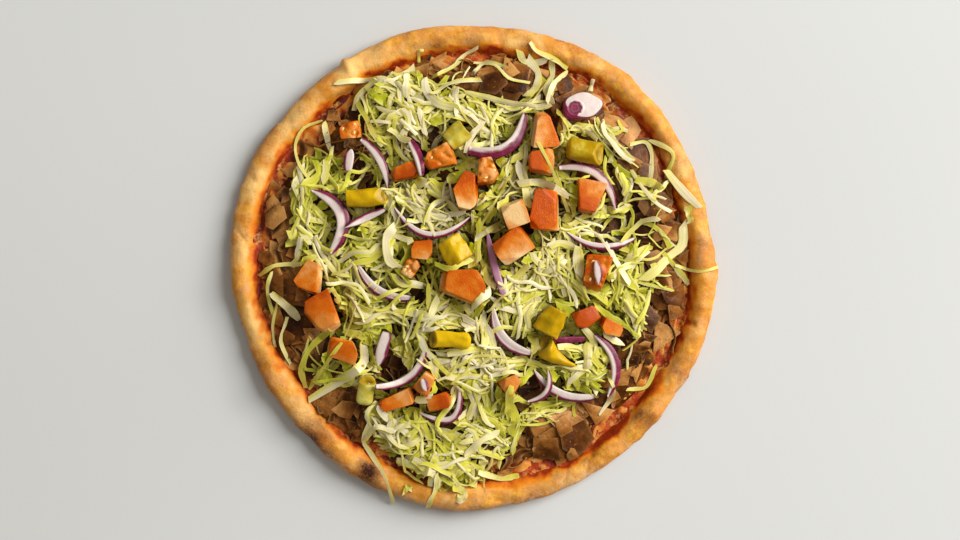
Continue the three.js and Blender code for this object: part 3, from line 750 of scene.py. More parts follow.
def meatFinish():
    finish = Finish("roastMeat", Specular_IOR_Level=0.14)
    fibre = finish.noise(1.3, 4, 0.65)
    marble = finish.noise(5, 4, 0.6)
    roasted = finish.blend(finish.mark("tone"), 0.62, marble, 0.5)
    base = finish.ramp(roasted, [(0.18, "301202"), (0.4, "5a3008"), (0.62, "925a22"), (0.88, "ca9250")])
    # painted shade: meat under the salad and under other slices is darkened towards dark brown
    base = finish.patches(base, finish.mark("deep"), 0.0, 1.0, 0.8, "2a1004")
    black = finish.ramp(marble, [(0.35, "321404"), (0.65, "5e2e0a")])
    charred = finish.sum(finish.mark("char"), finish.sum(fibre, -0.5))
    base = finish.patches(base, charred, 0.3, 0.85, 1.0, black)
    base = finish.patches(base, finish.noise(2.4, 3, 0.6), 0.66, 0.74, 0.6, "cf9a54")
    # edge is partly the paler colour of the slice's rim and partly a painted highlight along its thin edges
    base = finish.mix(finish.times(finish.mark("edge"), 0.5), base, "cb9654")
    return finish.done(base, fibre, 0.2, 0.46, finish.sum(finish.times(fibre, 0.5), marble), 0.5)


def meatReach(x, y):
    turn = math.degrees(math.atan2(y, x)) % 360
    return next(far for start, end, far in meat["reach"] if start <= turn <= end)


def tooFar(px, py, margin):
    reach = np.hypot(px, py) + margin - waves(np.arctan2(py, px), pizza["widthWaves"])
    return (reach > meatReach(px[len(px) // 2], py[len(px) // 2])).any()


def tooHigh(px, py, height):
    limit = np.where(np.hypot(px, py) > meat["bareFrom"], meat["highest"], moundTop(px, py) - meat["deep"])
    return (height > limit).any()


def randomPlace(rng, inner):
    # most of the meat lies where it shows
    while True:
        radius, angle = meat["within"] * math.sqrt(rng.uniform(0.02, 1)), rng.uniform(-math.pi, math.pi)
        if radius > max(inner, meat["bareFrom"]) or (radius > inner and rng.uniform() > 0.7):
            return radius * math.cos(angle), radius * math.sin(angle)


def polygonReach(rng, sectors, corners):
    # directions round a sheet with straight sides, and how far it reaches there, about 1
    count = 2 * round(sectors / 2 / corners) * corners  # even, and as many on each side
    at = np.sort((np.arange(corners) + rng.uniform(-0.32, 0.32, corners)) / corners * math.tau)
    ends = np.append(at, at[0] + math.tau)
    shares = np.interp(np.arange(count), np.arange(corners + 1) * count / corners, np.arange(corners + 1))
    turns = np.interp(shares, np.arange(corners + 1), ends)
    far = rng.uniform(0.75, 1.25, corners)
    x, y = far * np.cos(at), far * np.sin(at)
    x, y = np.append(x, x[0]), np.append(y, y[0])
    reach = np.full(len(turns), 2.0)
    for k in range(corners):
        ex, ey = x[k + 1] - x[k], y[k + 1] - y[k]
        across = np.cos(turns) * ey - np.sin(turns) * ex
        hit = (x[k] * ey - y[k] * ex) / np.where(np.abs(across) < 1e-6, 1e-6, across)
        reach = np.where(hit > 0, np.minimum(reach, hit), reach)
    return turns, reach


def shaveSheet(rng, batch, size, inner):
    # a thin slice draped over what lies below it
    sort = meat["sheets"]
    x, y = randomPlace(rng, inner)
    turns, edge = polygonReach(rng, sort["sectors"], rng.integers(*sort["corners"]))
    stretch, way = rng.uniform(0.55, 1), rng.uniform(0, math.pi)
    edge = edge * (1 + 0.025 * rng.normal(size=len(turns))) * size
    rings = np.array(sort["rings"])[:, None]
    u, v = rings * edge * np.cos(turns), rings * edge * np.sin(turns) * stretch
    u, v = u * math.cos(way) - v * math.sin(way), u * math.sin(way) + v * math.cos(way)
    px, py = x + u, y + v
    if tooFar(px[-1], py[-1], 0):
        return False
    under = pileAt(px, py)
    near = np.stack([np.ones(u.size), u.ravel(), v.ravel(), u.ravel() ** 2 / 30, v.ravel() ** 2 / 30], axis=1)
    hold = np.diag([0, 40, 40, 400, 400])
    shape = np.linalg.solve(near.T @ near + hold, near.T @ under.ravel())
    height = (near @ shape).reshape(u.shape)
    height = height + np.percentile(under - height, 80) + 0.5
    lift = (u * math.cos(way * 7) + v * math.sin(way * 7)) / size
    height = height + rng.uniform(0, 2.5) * np.clip(lift - 0.35, 0, None) ** 1.5
    height = height + 0.3 * ripple(plan(px, py), 9, 62)
    height = 0.75 * height + 0.25 * np.maximum(under + 0.5, height - 2)
    if tooHigh(px.ravel(), py.ravel(), height.ravel()):
        return False
    half = 0.5 * sort["thickness"] * rng.uniform(0.7, 1.3) * np.array(sort["thinning"])[:, None]
    top, bottom = np.stack([px, py, height + half], axis=-1), np.stack([px, py, height - half], axis=-1)
    points = np.concatenate([top, bottom[::-1]]).reshape(-1, 3)
    n, rows = len(turns), 2 * len(rings)
    quads = np.vstack([gridQuads(rows, n)[:, ::-1], endFans(rows, n)])
    slope = rng.normal(0, 0.3) * u / size + rng.normal(0, 0.3) * v / size
    tone = rng.uniform(0.05, 0.95) + bothSides(slope).ravel()
    char = rng.uniform(-0.15, 0.3) + rng.choice([0, 0, 0.4, 0.8]) * np.clip(-lift, 0, 1)
    # deep is painted shade where the slice lies under the salad; edge is partly a paler rim and partly a
    # painted highlight
    batch.add(points, quads, tone=tone, char=bothSides(char).ravel(),
              edge=rng.uniform(0, 0.7) * np.repeat(bothSides(sort["rim"]), n), deep=underSalad(points))
    whole = np.stack([px, py, height + 0.4])
    for turned in np.linspace(0, 1, 6, endpoint=False):
        between = whole * (1 - turned) + np.roll(whole, -1, axis=2) * turned
        for share in np.linspace(0, 1, 10):
            cx, cy, top = between[:, :-1] * (1 - share) + between[:, 1:] * share
            np.maximum.at(pile, cellsOf(cx, cy), top)
    return True


def shaveShred(rng, batch, share, inner):
    sort = meat["shreds"]
    length = sort["length"][0] + (sort["length"][1] - sort["length"][0]) * share
    width = rng.uniform(*sort["width"])
    stations = max(7, int(length / 2))
    x, y = randomPlace(rng, inner)
    px, py = walk(rng, x, y, rng.uniform(0, math.pi), length, stations, rng.uniform(-1.2, 1.2), 0.2)
    height, _ = layOn(px, py, 0.3 * width, 0.6, 0.4)
    if tooFar(px, py, 0.3 * width) or tooHigh(px, py, height):
        return False
    s = np.linspace(-1, 1, stations)
    half = 0.5 * width * (1 - 0.5 * np.abs(s) ** rng.uniform(4, 12))
    half = half * (1 + 0.25 * np.sin(s * 5 + rng.uniform(0, 6)))
    line = np.stack([px, py, height + rng.uniform(0, 2) * np.abs(s) ** 3], axis=1)
    roll = rng.normal(0, 0.6) + 0.5 * np.sin(s * 2 + rng.uniform(0, 6))
    torn = 0.25 * rng.normal(size=(stations, sort["columns"] + 1))
    points, quads, t, across = ribbon(line, half, sort["thickness"], roll, sort["columns"],
                                      rng.uniform(-0.4, 0.4), 0.4 * torn, torn, rng.uniform(-0.8, 0.8))
    # edge is partly a paler rim and partly a painted highlight along the thin sides and ends
    edge = np.maximum(np.abs(across) ** 5, np.abs(2 * t - 1) ** 12)
    batch.add(points, quads, tone=rng.uniform(0.1, 0.95), char=rng.uniform(-0.1, 0.6), edge=0.7 * edge,
              deep=underSalad(points))
    raisePile(line, half, roll, sort["thickness"])
    return True


def shaveMeat():
    rng = np.random.default_rng(61)
    batch = Batch()
    small, large = meat["sheets"]["radius"]
    half = meat["sheets"]["count"] // 2
    for shave, sizes, count, inner in ((shaveSheet, (small, large), half, 0),
                                       (shaveShred, (0, 1), meat["shreds"]["count"], 0),
                                       (shaveSheet, (small + 3, large), half, 0),
                                       (shaveSheet, (small - 3, small + 3), half, 112)):
        for _ in range(count):
            size = rng.uniform(*sizes)
            for attempt in range(meat["tries"]):
                if shave(rng, batch, size * (1 - meat["shrink"] * attempt), inner):
                    break
    points = np.vstack(batch.points)
    # painted shade: slices lying under other slices are darkened as well
    depth = pileAt(points[:, 0], points[:, 1]) - points[:, 2]
    batch.marks["deep"] = [np.maximum(np.concatenate(batch.marks["deep"]), softStep(depth, 0.8, 3.6))]
    return batch.mesh("shavedMeat", 50)


bed = meatBed()
pile = np.maximum(pile, np.where(np.hypot(gridX, gridY) < 132, bedHeight(gridX, gridY), 0))
roast = meatFinish()
addPiece("meatBed", bed, roast, "kebab_meat", "kebab_meat")
addPiece("shavedMeat", shaveMeat(), roast, "kebab_meat", "kebab_meat")
print("meat is shaved")

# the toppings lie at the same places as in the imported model
moundSlope = (heap["crownHeight"] - heap["edgeHeight"]) / heap["radius"] ** 2


def settleOn(points, node, x, y, turn):
    # turns a topping, tips it to the slope of the heap and stands it where its solid stands
    normal = Vector((2 * moundSlope * x, 2 * moundSlope * y, 1)).normalized()
    tip = Vector((0, 0, 1)).rotation_difference(normal).to_matrix()
    spin = np.array(tip @ Matrix.Rotation(turn * degree, 3, "Z"))
    points = points @ spin.T
    low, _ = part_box(node)
    points[:, 2] += low.z / mm - points[:, 2].min()
    points[:, :2] += (x, y)
    return points


def stackMesh(mesh, covers=True):
    # adds a finished piece to the pile
    corners = [v.co.copy() for v in mesh.vertices]
    tree = BVHTree.FromPolygons(corners, [tuple(p.vertices) for p in mesh.polygons])
    spots = np.array(corners) / mm
    (x0, x1), (y0, y1) = cellsOf(*([spots[:, k].min(), spots[:, k].max()] for k in (0, 1)))
    for i in range(x0, x1 + 1):
        for j in range(y0, y1 + 1):
            hit = tree.ray_cast(Vector((cellAxis[i] * mm, cellAxis[j] * mm, 0.2)), Vector((0, 0, -1)))
            if hit[0]:
                pile[i, j] = max(pile[i, j], hit[0].z / mm)
                topped[i, j] |= covers


stackMesh(crustMesh, False)

lettuce = {
    # sizes of each kind of strand, the spacing of its stations along it, and how much it turns
    "under": {"count": 260, "length": (14, 40), "width": (1.4, 4.0), "thickness": 0.7, "columns": 2,
              "crinkle": 0.4, "torn": 0.15, "green": (0.3, 1.0), "spacing": 2.6, "turns": 0.6},
    "leaf": {"count": 430, "length": (7, 20), "width": (2.6, 7.0), "thickness": 0.45, "columns": 3,
             "crinkle": 1.0, "torn": 0.7, "green": (0.35, 1.0), "spacing": 1.4, "turns": 0.9},
    "blade": {"count": 1150, "length": (12, 42), "width": (1.3, 4.6), "thickness": 0.5, "columns": 2,
              "crinkle": 0.45, "torn": 0.3, "green": (0.1, 0.95), "spacing": 2.2, "turns": 0.75},
    "rib": {"count": 320, "length": (14, 40), "width": (1.4, 4.6), "thickness": 1.0, "columns": 3,
            "crinkle": 0.15, "torn": 0.12, "green": (-0.1, 0.45), "spacing": 2.5, "turns": 0.5},
    "thread": {"count": 380, "length": (12, 50), "width": (0.7, 1.5), "thickness": 0.55, "columns": 1,
               "crinkle": 0.0, "torn": 0.05, "green": (0.0, 0.7), "spacing": 2.0, "turns": 1.1},
}
# where the leaf is greener or paler than elsewhere: x, y, radius, by how much
leafPatches = [(-92, 68, 16, 0.3), (-98, 38, 18, 0.35), (-88, -64, 16, 0.3), (-45, -10, 26, 0.2),
               (84, -30, 22, 0.3), (106, -4, 18, 0.25), (28, -104, 18, 0.3), (66, -84, 14, 0.25),
               (-54, 96, 14, 0.25), (76, 62, 14, 0.4), (-20, 110, 24, -0.2), (-40, 84, 16, -0.2),
               (-14, 46, 20, -0.25), (-48, 30, 18, -0.25), (40, 50, 18, -0.2), (52, 2, 18, -0.2),
               (88, 88, 16, -0.15), (110, 42, 16, -0.2), (-62, -108, 20, -0.2), (-18, -128, 20, -0.15),
               (14, -60, 18, -0.2), (56, 110, 18, -0.3)]


def greenAt(x, y):
    shift = 0.14 * ripple(plan(x, y), 26, 72)
    for px, py, radius, amount in leafPatches:
        shift = shift + amount * np.exp(-((x - px) ** 2 + (y - py) ** 2) / radius**2)
    return shift


def saladTop(x, y):
    # how high the salad may come before and between the toppings
    inside = rampUp(saladEdge(np.arctan2(y, x)) - np.hypot(x, y), -3, 9)
    return np.where(inside > 0, moundTop(x, y) * inside + (pileAt(x, y) + 1) * (1 - inside), 0)


def lettuceFinish(name, thickLeaf):
    finish = Finish(name, Specular_IOR_Level=0.25)
    vein = finish.noise(1.2, 3, 0.6)
    shade = finish.sum(finish.mark("green"), finish.swing(vein, 0.35))
    leaf = finish.ramp(shade, [(0.0, "faf0d0"), (0.17, "f7eea6"), (0.4, "f0e662"), (0.66, "e2e034"),
                               (0.98, "c2c40e")])
    leaf = finish.patches(leaf, finish.mark("tone"), 0.0, 1.0, 0.16, "c4a45c")
    leaf = finish.mix(finish.times(finish.mark("edge"), 0.4), leaf, "f4f08c")  # painted light: the thin edges are lightened as if light came through them
    leaf = finish.mix(finish.mark("deep"), leaf, "2e1804")  # painted shade: strands that lie deep under the rest are darkened towards dark brown
    finish.glowThrough(leaf, 0.26 if thickLeaf else 0.38)
    relief = finish.sum(vein, finish.stripes(3.2 if thickLeaf else 5, 3))
    return finish.done(leaf, vein, 0.24, 0.46, relief, 0.1)


def shredStrand(rng, kind, batch, px, py, halfWidth, loft, roll, stiffness=0.6, green=None, sink=0.5):
    # lays one strand on the pile; it sinks in by this share of its half width when it stands on edge
    sort = lettuce[kind]
    n = len(px)
    s = np.linspace(-1, 1, n)
    half = halfWidth * (1 - rng.uniform(0.0, 0.5) * np.abs(s) ** rng.uniform(6, 16))
    half = half * (1 + 0.14 * np.sin(s * rng.uniform(2, 7) + rng.uniform(0, 6))) + 0.1
    height, along = layOn(px, py, halfWidth * np.abs(np.cos(roll)).mean(), stiffness, 0.1)
    line = np.stack([px, py, height + halfWidth * np.abs(np.sin(roll)) * (1 - sink) + loft], axis=1)
    columns = sort["columns"] + 1
    a = np.linspace(-1, 1, columns)
    scale = min(1, halfWidth / 2)
    beat = math.tau / rng.uniform(4, 9)
    left = np.sin(along * beat + rng.uniform(0, 6)) + 0.6 * rng.normal(size=n)
    right = np.sin(along * beat * 1.2 + rng.uniform(0, 6)) + 0.6 * rng.normal(size=n)
    crinkle = sort["crinkle"] * scale * np.where(a[None, :] < 0, left[:, None], right[:, None])
    torn = rng.normal(size=(n + 2, columns)) * (1 + 2 * (rng.uniform(size=(n + 2, 1)) < 0.12))
    torn = sort["torn"] * scale * (torn[:-2] + 2 * torn[1:-1] + torn[2:]) / 3
    points, quads, t, across = ribbon(line, half, sort["thickness"], roll, sort["columns"],
                                      rng.uniform(-0.15, 0.22), crinkle, torn, rng.uniform(-1.2, 1.2))
    if green is None:
        green = rng.uniform(*sort["green"]) + greenAt(px[n // 2], py[n // 2])
    green = green + rng.uniform(-0.35, 0.35) * across + rng.uniform(-0.5, 0.5) * (t - 0.5)
    # edge is painted light along the thin sides of the strand
    batch.add(points, quads, green=np.clip(green, 0, 1), tone=rng.uniform(0, 1) ** 2,
              grain=across * halfWidth, edge=np.abs(across) ** 5)
    raisePile(line, half, roll, sort["thickness"])


bare = np.zeros(pile.shape, bool)  # cells in the gaps of the salad
for gapX, gapY, gapRadius in salad["gaps"]:
    bare |= np.hypot(gridX - gapX, gridY - gapY) < 0.85 * gapRadius


def thinAt(x, y):
    # how much the salad thins out at a place, 0 to 1
    if any((x - gx) ** 2 + (y - gy) ** 2 < radius**2 for gx, gy, radius in salad["gaps"]):
        return 0.93
    angle, radius = math.degrees(math.atan2(y, x)), math.hypot(x, y)
    airy = any(radius > inner and (angle - start) % 360 < end - start for start, end, inner in salad["airy"])
    return 0.72 if airy else 0.0


def placeStrand(rng, kind, x, y, heading, above, strayBy):
    # the plan of one strand, or nothing when it would lie where the salad doesn't
    sort = lettuce[kind]
    length = rng.uniform(*sort["length"])
    width = sort["width"][0] + (sort["width"][1] - sort["width"][0]) * rng.uniform() ** 1.7
    stations = max(5, int(length / sort["spacing"]))
    px, py = walk(rng, x, y, heading, length, stations, rng.normal(0, sort["turns"]), rng.uniform(0, 0.35))
    outer = np.hypot(px, py) - saladEdge(np.arctan2(py, px))
    if (outer > strayBy).any() or (outer > 0).mean() > 0.6:
        return None
    if topped[cellsOf(px, py)].mean() > rng.choice(salad["overlap"]):
        return None
    if bare[cellsOf(px, py)].mean() > 0.1 and rng.uniform() < 0.86:
        return None
    if (pileAt(px, py) > saladTop(px, py) + above + 2.5).any():
        return None
    return px, py, width


def scatterStrands(rng, batches, kinds, above):
    # strands go where the pile is below what the salad fills, often side by side with the one before
    jobs = [kind for kind in kinds for _ in range(lettuce[kind]["count"])]
    rng.shuffle(jobs)
    last = None
    for kind in jobs:
        for attempt in range(salad["tries"]):
            radius = salad["reach"] * np.sqrt(rng.uniform(0, 1, salad["places"]))
            angle = rng.uniform(-math.pi, math.pi, salad["places"])
            xs, ys = radius * np.cos(angle), radius * np.sin(angle)
            lack = saladTop(xs, ys) + above - pileAt(xs, ys)
            lack[radius > saladEdge(angle)] = -99
            best = int(np.argmax(lack + rng.uniform(0, 5, salad["places"])))
            x, y, heading = xs[best], ys[best], rng.uniform(0, math.tau)
            if last and attempt < 4 and rng.uniform() < 0.5:
                x, y = np.array(last[:2]) + rng.normal(0, 4, 2)
                heading = last[2] + rng.normal(0, 0.2)
            elif lack[best] < -1.5:
                continue
            if rng.uniform() < thinAt(x, y):
                continue
            placed = placeStrand(rng, kind, x, y, heading, above, rng.choice(salad["stray"]))
            if not placed:
                continue
            px, py, width = placed
            s = np.linspace(-1, 1, len(px))
            loft = np.abs(s) ** 3 * rng.uniform(-0.3, 1.0) + rng.uniform(0, 0.6) * (1 - s * s)
            roll = rng.normal(0, 0.15) + rng.normal(0, 0.24) * s
            shredStrand(rng, kind, batches[kind], px, py, width / 2, loft, roll)
            last = (x, y, heading)
            break


batches = {kind: Batch() for kind in lettuce}
growth = np.random.default_rng(71)
scatterStrands(growth, batches, ["under"], -3.0)
lettuce["blade"]["count"] //= 2
scatterStrands(growth, batches, ["blade"], -0.6)
print("under salad is laid")

tomato = {
    "dice": [  # x, y, length, width, height, turn, how much wider its far end is, look
        (-80.6, 88.2, 12, 10.5, 8, 10, 0.1, "gel"), (-45, 60.9, 16, 9, 7, 15, 0.15, "skin"),
        (-22.5, 70, 18, 13, 9, 20, 0.2, "gel"), (-4.7, 48.3, 23, 14, 10, 75, -0.5, "flesh"),
        (9.2, 61.6, 15, 12, 9, 100, -0.3, "gel"), (45.9, 88.5, 21, 13, 9, 95, -0.4, "flesh"),
        (43.9, 67.4, 15, 14, 11, 0, 0.2, "flesh"), (75.5, 44.5, 19, 15, 10, 80, 0.3, "flesh"),
        (27.3, 33.5, 15, 15, 13, 20, 0.0, "pale"), (46.5, 36.1, 25, 16, 10, 85, -0.15, "flesh"),
        (25.5, 12.6, 21, 18, 11, 35, 0.05, "flesh"), (-33.5, 10.2, 13, 12, 9, 0, 0.1, "flesh"),
        (-40.8, -1.7, 12, 9, 7, 60, 0.1, "gel"), (-6.9, -12.2, 25, 19, 11, -10, 0.3, "flesh"),
        (-106.7, -7.6, 18, 13, 9, 70, -0.35, "flesh"), (-98.2, -31.7, 21, 18, 10, 120, 0.2, "skin"),
        (-85.2, -55.2, 18, 12, 8, -15, 0.1, "skin"), (79.8, -4, 20, 15, 9, 75, 0.15, "gel"),
        (73.9, -34, 15, 12, 9, 30, -0.2, "skin"), (89.5, -41, 13, 9, 8, -20, -0.2, "flesh"),
        (24.4, -77.4, 12, 10.5, 9, 40, -0.4, "skin"), (-51, -88.5, 22, 9, 8, 20, 0.2, "flesh"),
        (-22.5, -89, 14, 10, 8, 15, 0.1, "skin"), (-31.5, -76.8, 12, 10, 9, 60, -0.2, "skin"),
    ],
    "square": 26,              # how crisp its edges are
    "dome": 0.16,              # how far skin and wet faces bulge
    "bevels": 3,
    "seeds": (5, 9),           # how many, and their size
    "seedSize": (1.3, 0.9, 0.5),
    # how much paler or deeper than its kind: number, amount
    "paler": {3: 0.15, 4: -0.35, 6: 0.35, 7: -0.05, 8: -0.45, 9: 0.5, 11: 0.1, 12: -0.12, 14: 0.22, 15: 0.5,
              16: 0.2, 17: 0.45, 19: -0.4, 20: -0.25, 22: -0.25},
}


def boxShell(steps):
    # the surface of a cube from -1 to 1 as one closed mesh of squares
    line = np.linspace(-1, 1, steps + 1)
    u, v = (g.ravel() for g in np.meshgrid(line, line, indexing="ij"))
    one = np.ones_like(u)
    faces = [(u, v, one), (v, u, -one), (one, u, v), (-one, v, u), (v, one, u), (u, -one, v)]
    points = np.vstack([np.stack(face, axis=1) for face in faces])
    quads = np.vstack([gridQuads(steps + 1, steps + 1, False, False, k * (steps + 1) ** 2) for k in range(6)])
    keys = np.round(points * steps).astype(int)
    _, first, same = np.unique(keys, axis=0, return_index=True, return_inverse=True)
    return points[first], same.ravel()[quads][:, ::-1]


def squareOff(points, power):
    # draws a cube's surface in to one with rounded edges, the crisper the higher the power
    return points / np.sum(np.abs(points) ** power, axis=1, keepdims=True) ** (1 / power)


def seedAt(points, center, sizes, spin):
    return (unit(points) * sizes) @ spin.T + center


def tomatoFinish():
    finish = Finish("cutTomato", Specular_IOR_Level=0.24)
    pulp = finish.noise(3.2, 4, 0.6)
    fibre = finish.noise(0.9, 3, 0.6)
    ripeness = finish.blend(finish.mark("tone"), 0.6, pulp, 0.4)
    flesh = finish.ramp(ripeness, [(0.22, "bc4c00"), (0.42, "ce6002"), (0.6, "d87c20"), (0.8, "e4a260"),
                                   (0.98, "f2c88a")])
    rind = finish.ramp(ripeness, [(0.2, "b24600"), (0.5, "ce6404"), (0.72, "d88434")])
    wet = finish.ramp(pulp, [(0.3, "b04e02"), (0.6, "cf7a10"), (0.8, "e09a34")])
    look = finish.mix(finish.mark("gel"), flesh, wet)
    look = finish.mix(finish.mark("rind"), look, rind)
    look = finish.mix(finish.mark("seed"), look, "efd48c")
    return finish.done(look, pulp, 0.1, 0.34, finish.sum(fibre, pulp), 0.3)


def cutTomato(index, x, y, length, width, height, turn, wedge, look, cube, seedShell):
    rng = np.random.default_rng(300 + index)
    points, quads = cube
    p = squareOff(points, tomato["square"])
    lean = rng.uniform(-0.2, 0.2, 2)
    x0 = p[:, 0] * (1 + 0.06 * (1 - p[:, 1] ** 2)) + lean[0] * p[:, 2]
    y0 = p[:, 1] * (1 + wedge * p[:, 0]) + lean[1] * p[:, 2]
    dome = tomato["dome"] if look in ("skin", "gel") else 0.0
    z0 = p[:, 2] * (1 + dome * (1 - p[:, 0] ** 2) * (1 - p[:, 1] ** 2))
    z0 = z0 * (1 + 0.16 * rng.uniform(-1, 1) * p[:, 0])
    body = np.stack([x0 * length, y0 * width, z0 * height], axis=1) / 2
    for _ in range(tomato["bevels"]):
        way = np.array([rng.choice([-1, 1]) * rng.uniform(0.4, 1), rng.choice([-1, 1]) * rng.uniform(0.4, 1),
                        rng.uniform(-0.2, 1.1)])
        reach = np.abs(way) @ np.array([length, width, height]) / 2
        reach, way = reach / np.linalg.norm(way), way / np.linalg.norm(way)
        body -= np.clip(body @ way - reach * rng.uniform(0.66, 0.88), 0, None)[:, None] * way
    body += 0.07 * ripple(body + 50 * index, 7, 81)[:, None] * p
    top = rampUp(p[:, 2], 0.55, 0.9)
    rind = {"skin": top, "gel": rampUp(-p[:, 1], 0.6, 0.95)}.get(look, rampUp(p[:, 0], 0.6, 0.95))
    gel = top * softStep(ripple(body, 6, 83 + index), -0.3, 0.5) if look == "gel" else 0 * top
    body = body - gel[:, None] * [0, 0, 0.9] * (1 + ripple(body, 3, 84)[:, None])
    tone = {"pale": 1.25, "flesh": 0.55, "gel": 0.4, "skin": 0.35}[look] + 0.15 * ripple(body, 8, 85 + index)
    tone = tone + tomato["paler"].get(index, 0) + 0.55 * p @ rng.normal(0, 0.6, 3)
    batch = Batch()
    batch.add(body, quads, rind=rind, gel=gel, tone=tone, seed=0.0)
    if look == "gel":
        for _ in range(rng.integers(*tomato["seeds"])):
            sx, sy = rng.uniform(-0.36, 0.36) * length, rng.uniform(-0.34, 0.34) * width
            sizes = np.array(tomato["seedSize"]) * rng.uniform(0.8, 1.1)
            spin = np.array(Matrix.Rotation(rng.uniform(0, 6), 3, "Z"))
            at = (sx, sy, height * 0.5 - 0.35)
            body = seedAt(seedShell[0], at, sizes, spin)
            batch.add(body, seedShell[1], rind=0.0, gel=0.0, tone=0.5, seed=1.0)
    allPoints = np.vstack(batch.points)
    batch.points = [settleOn(allPoints, f"tomato_{index:02d}", x, y, turn)]
    return batch.mesh(f"tomatoPiece_{index:02d}", 32)


fleshy = tomatoFinish()
cube, seedShell = boxShell(18), boxShell(4)
for index, die in enumerate(tomato["dice"], start=1):
    mesh = cutTomato(index, *die, cube, seedShell)
    addPiece(f"tomatoPiece_{index:02d}", mesh, fleshy, "tomato", f"tomato_{index:02d}")
    stackMesh(mesh)
print("tomato is diced")

pepper = {
    "pieces": [  # x, y, length, width, turn, which ends are open, ripeness
        (-11.3, 84.6, 15, 14, 40, "chunk", 0.25),
        (-70.8, 43.9, 24, 12, 5, "both", 0.75),
        (71.3, 74.6, 22, 15, -10, "one", 0.45),
        (-12.2, 9.7, 18, 17, 120, "chunk", 0.8),
        (-14.1, -48, 25, 11, 175, "one", 0.85),
        (50.5, -36.3, 18, 16, 60, "chunk", 0.55),
        (54.5, -60.5, 24, 14, 146, "tip", 0.7),
        (-70.8, -83.2, 16, 11, 80, "one", 0.2),
    ],
    "columns": 56,
    "wall": 1.9,
    # outside and hollow: share of the radius, share of the length, walls in from there, millimetres along
    "shapes": {
        "tip": ([(0, -0.04, 0, 0), (0.2, 0.04, 0, 0), (0.36, 0.25, 0, 0), (0.62, 0.5, 0, 0), (0.9, 0.8, 0, 0),
                 (1, 0.93, 0, 0), (0.98, 1, 0, 0)],
                [(1, 0.995, 1, 0), (1, 0.84, 1.158, 0), (0.3, 0.74, 0, 0), (0, 0.72, 0, 0)]),
        "one": ([(0, 0, 0, 0), (0.45, 0, 0, 0.1), (0.8, 0, 0, 1.3), (0.97, 0, 0, 3.4), (0.95, 0.55, 0, 0),
                 (1, 0.9, 0, 0), (0.99, 1, 0, 0)],
                [(1, 0.995, 1, 0), (1, 0.6, 1, 0), (0.4, 0.42, 0, 0), (0, 0.4, 0, 0)]),
        "both": ([(0.9, 0, 1, 0.1), (0.88, 0, 0, 0), (0.94, 0.1, 0, 0), (1, 0.5, 0, 0), (0.93, 0.9, 0, 0),
                  (0.9, 1, 0, 0)],
                 [(0.9, 0.995, 1, 0), (1, 0.5, 1, 0), (0.9, 0, 1, 0.1)]),
    },
    "pinhole": 0.05,  # radius of the profile where it meets the axis
    "flat": 0.74,     # height to width
    "slant": 0.75,    # of the cut
    "square": 14,
    "seedSize": (1.3, 1.3, 0.35),
}


def pepperProfile(length, width, ends):
    for line in pepper["shapes"][ends]:
        points = [(max(pepper["pinhole"], width / 2 * a - pepper["wall"] * walls), length * b + more)
                  for a, b, walls, more in line]
        yield smoothLine(points, 4)


def pepperFinish():
    finish = Finish("pickledPepper", Specular_IOR_Level=0.18)
    flesh = finish.noise(5, 3, 0.6)
    ripe = finish.sum(finish.mark("ripe"), finish.swing(flesh, 0.5))
    outside = finish.ramp(ripe, [(0.1, "cac468"), (0.28, "b8a430"), (0.44, "a48402"), (0.62, "b88e02"),
                                 (0.85, "d4ac08")])
    inside = finish.ramp(flesh, [(0.3, "8a6a06"), (0.7, "bc9a24")])
    look = finish.mix(finish.mark("inner"), outside, inside)
    look = finish.mix(finish.mark("seed"), look, "ecdca0")
    return finish.done(look, flesh, 0.14, 0.34, finish.noise(2.2, 3, 0.5), 0.25)


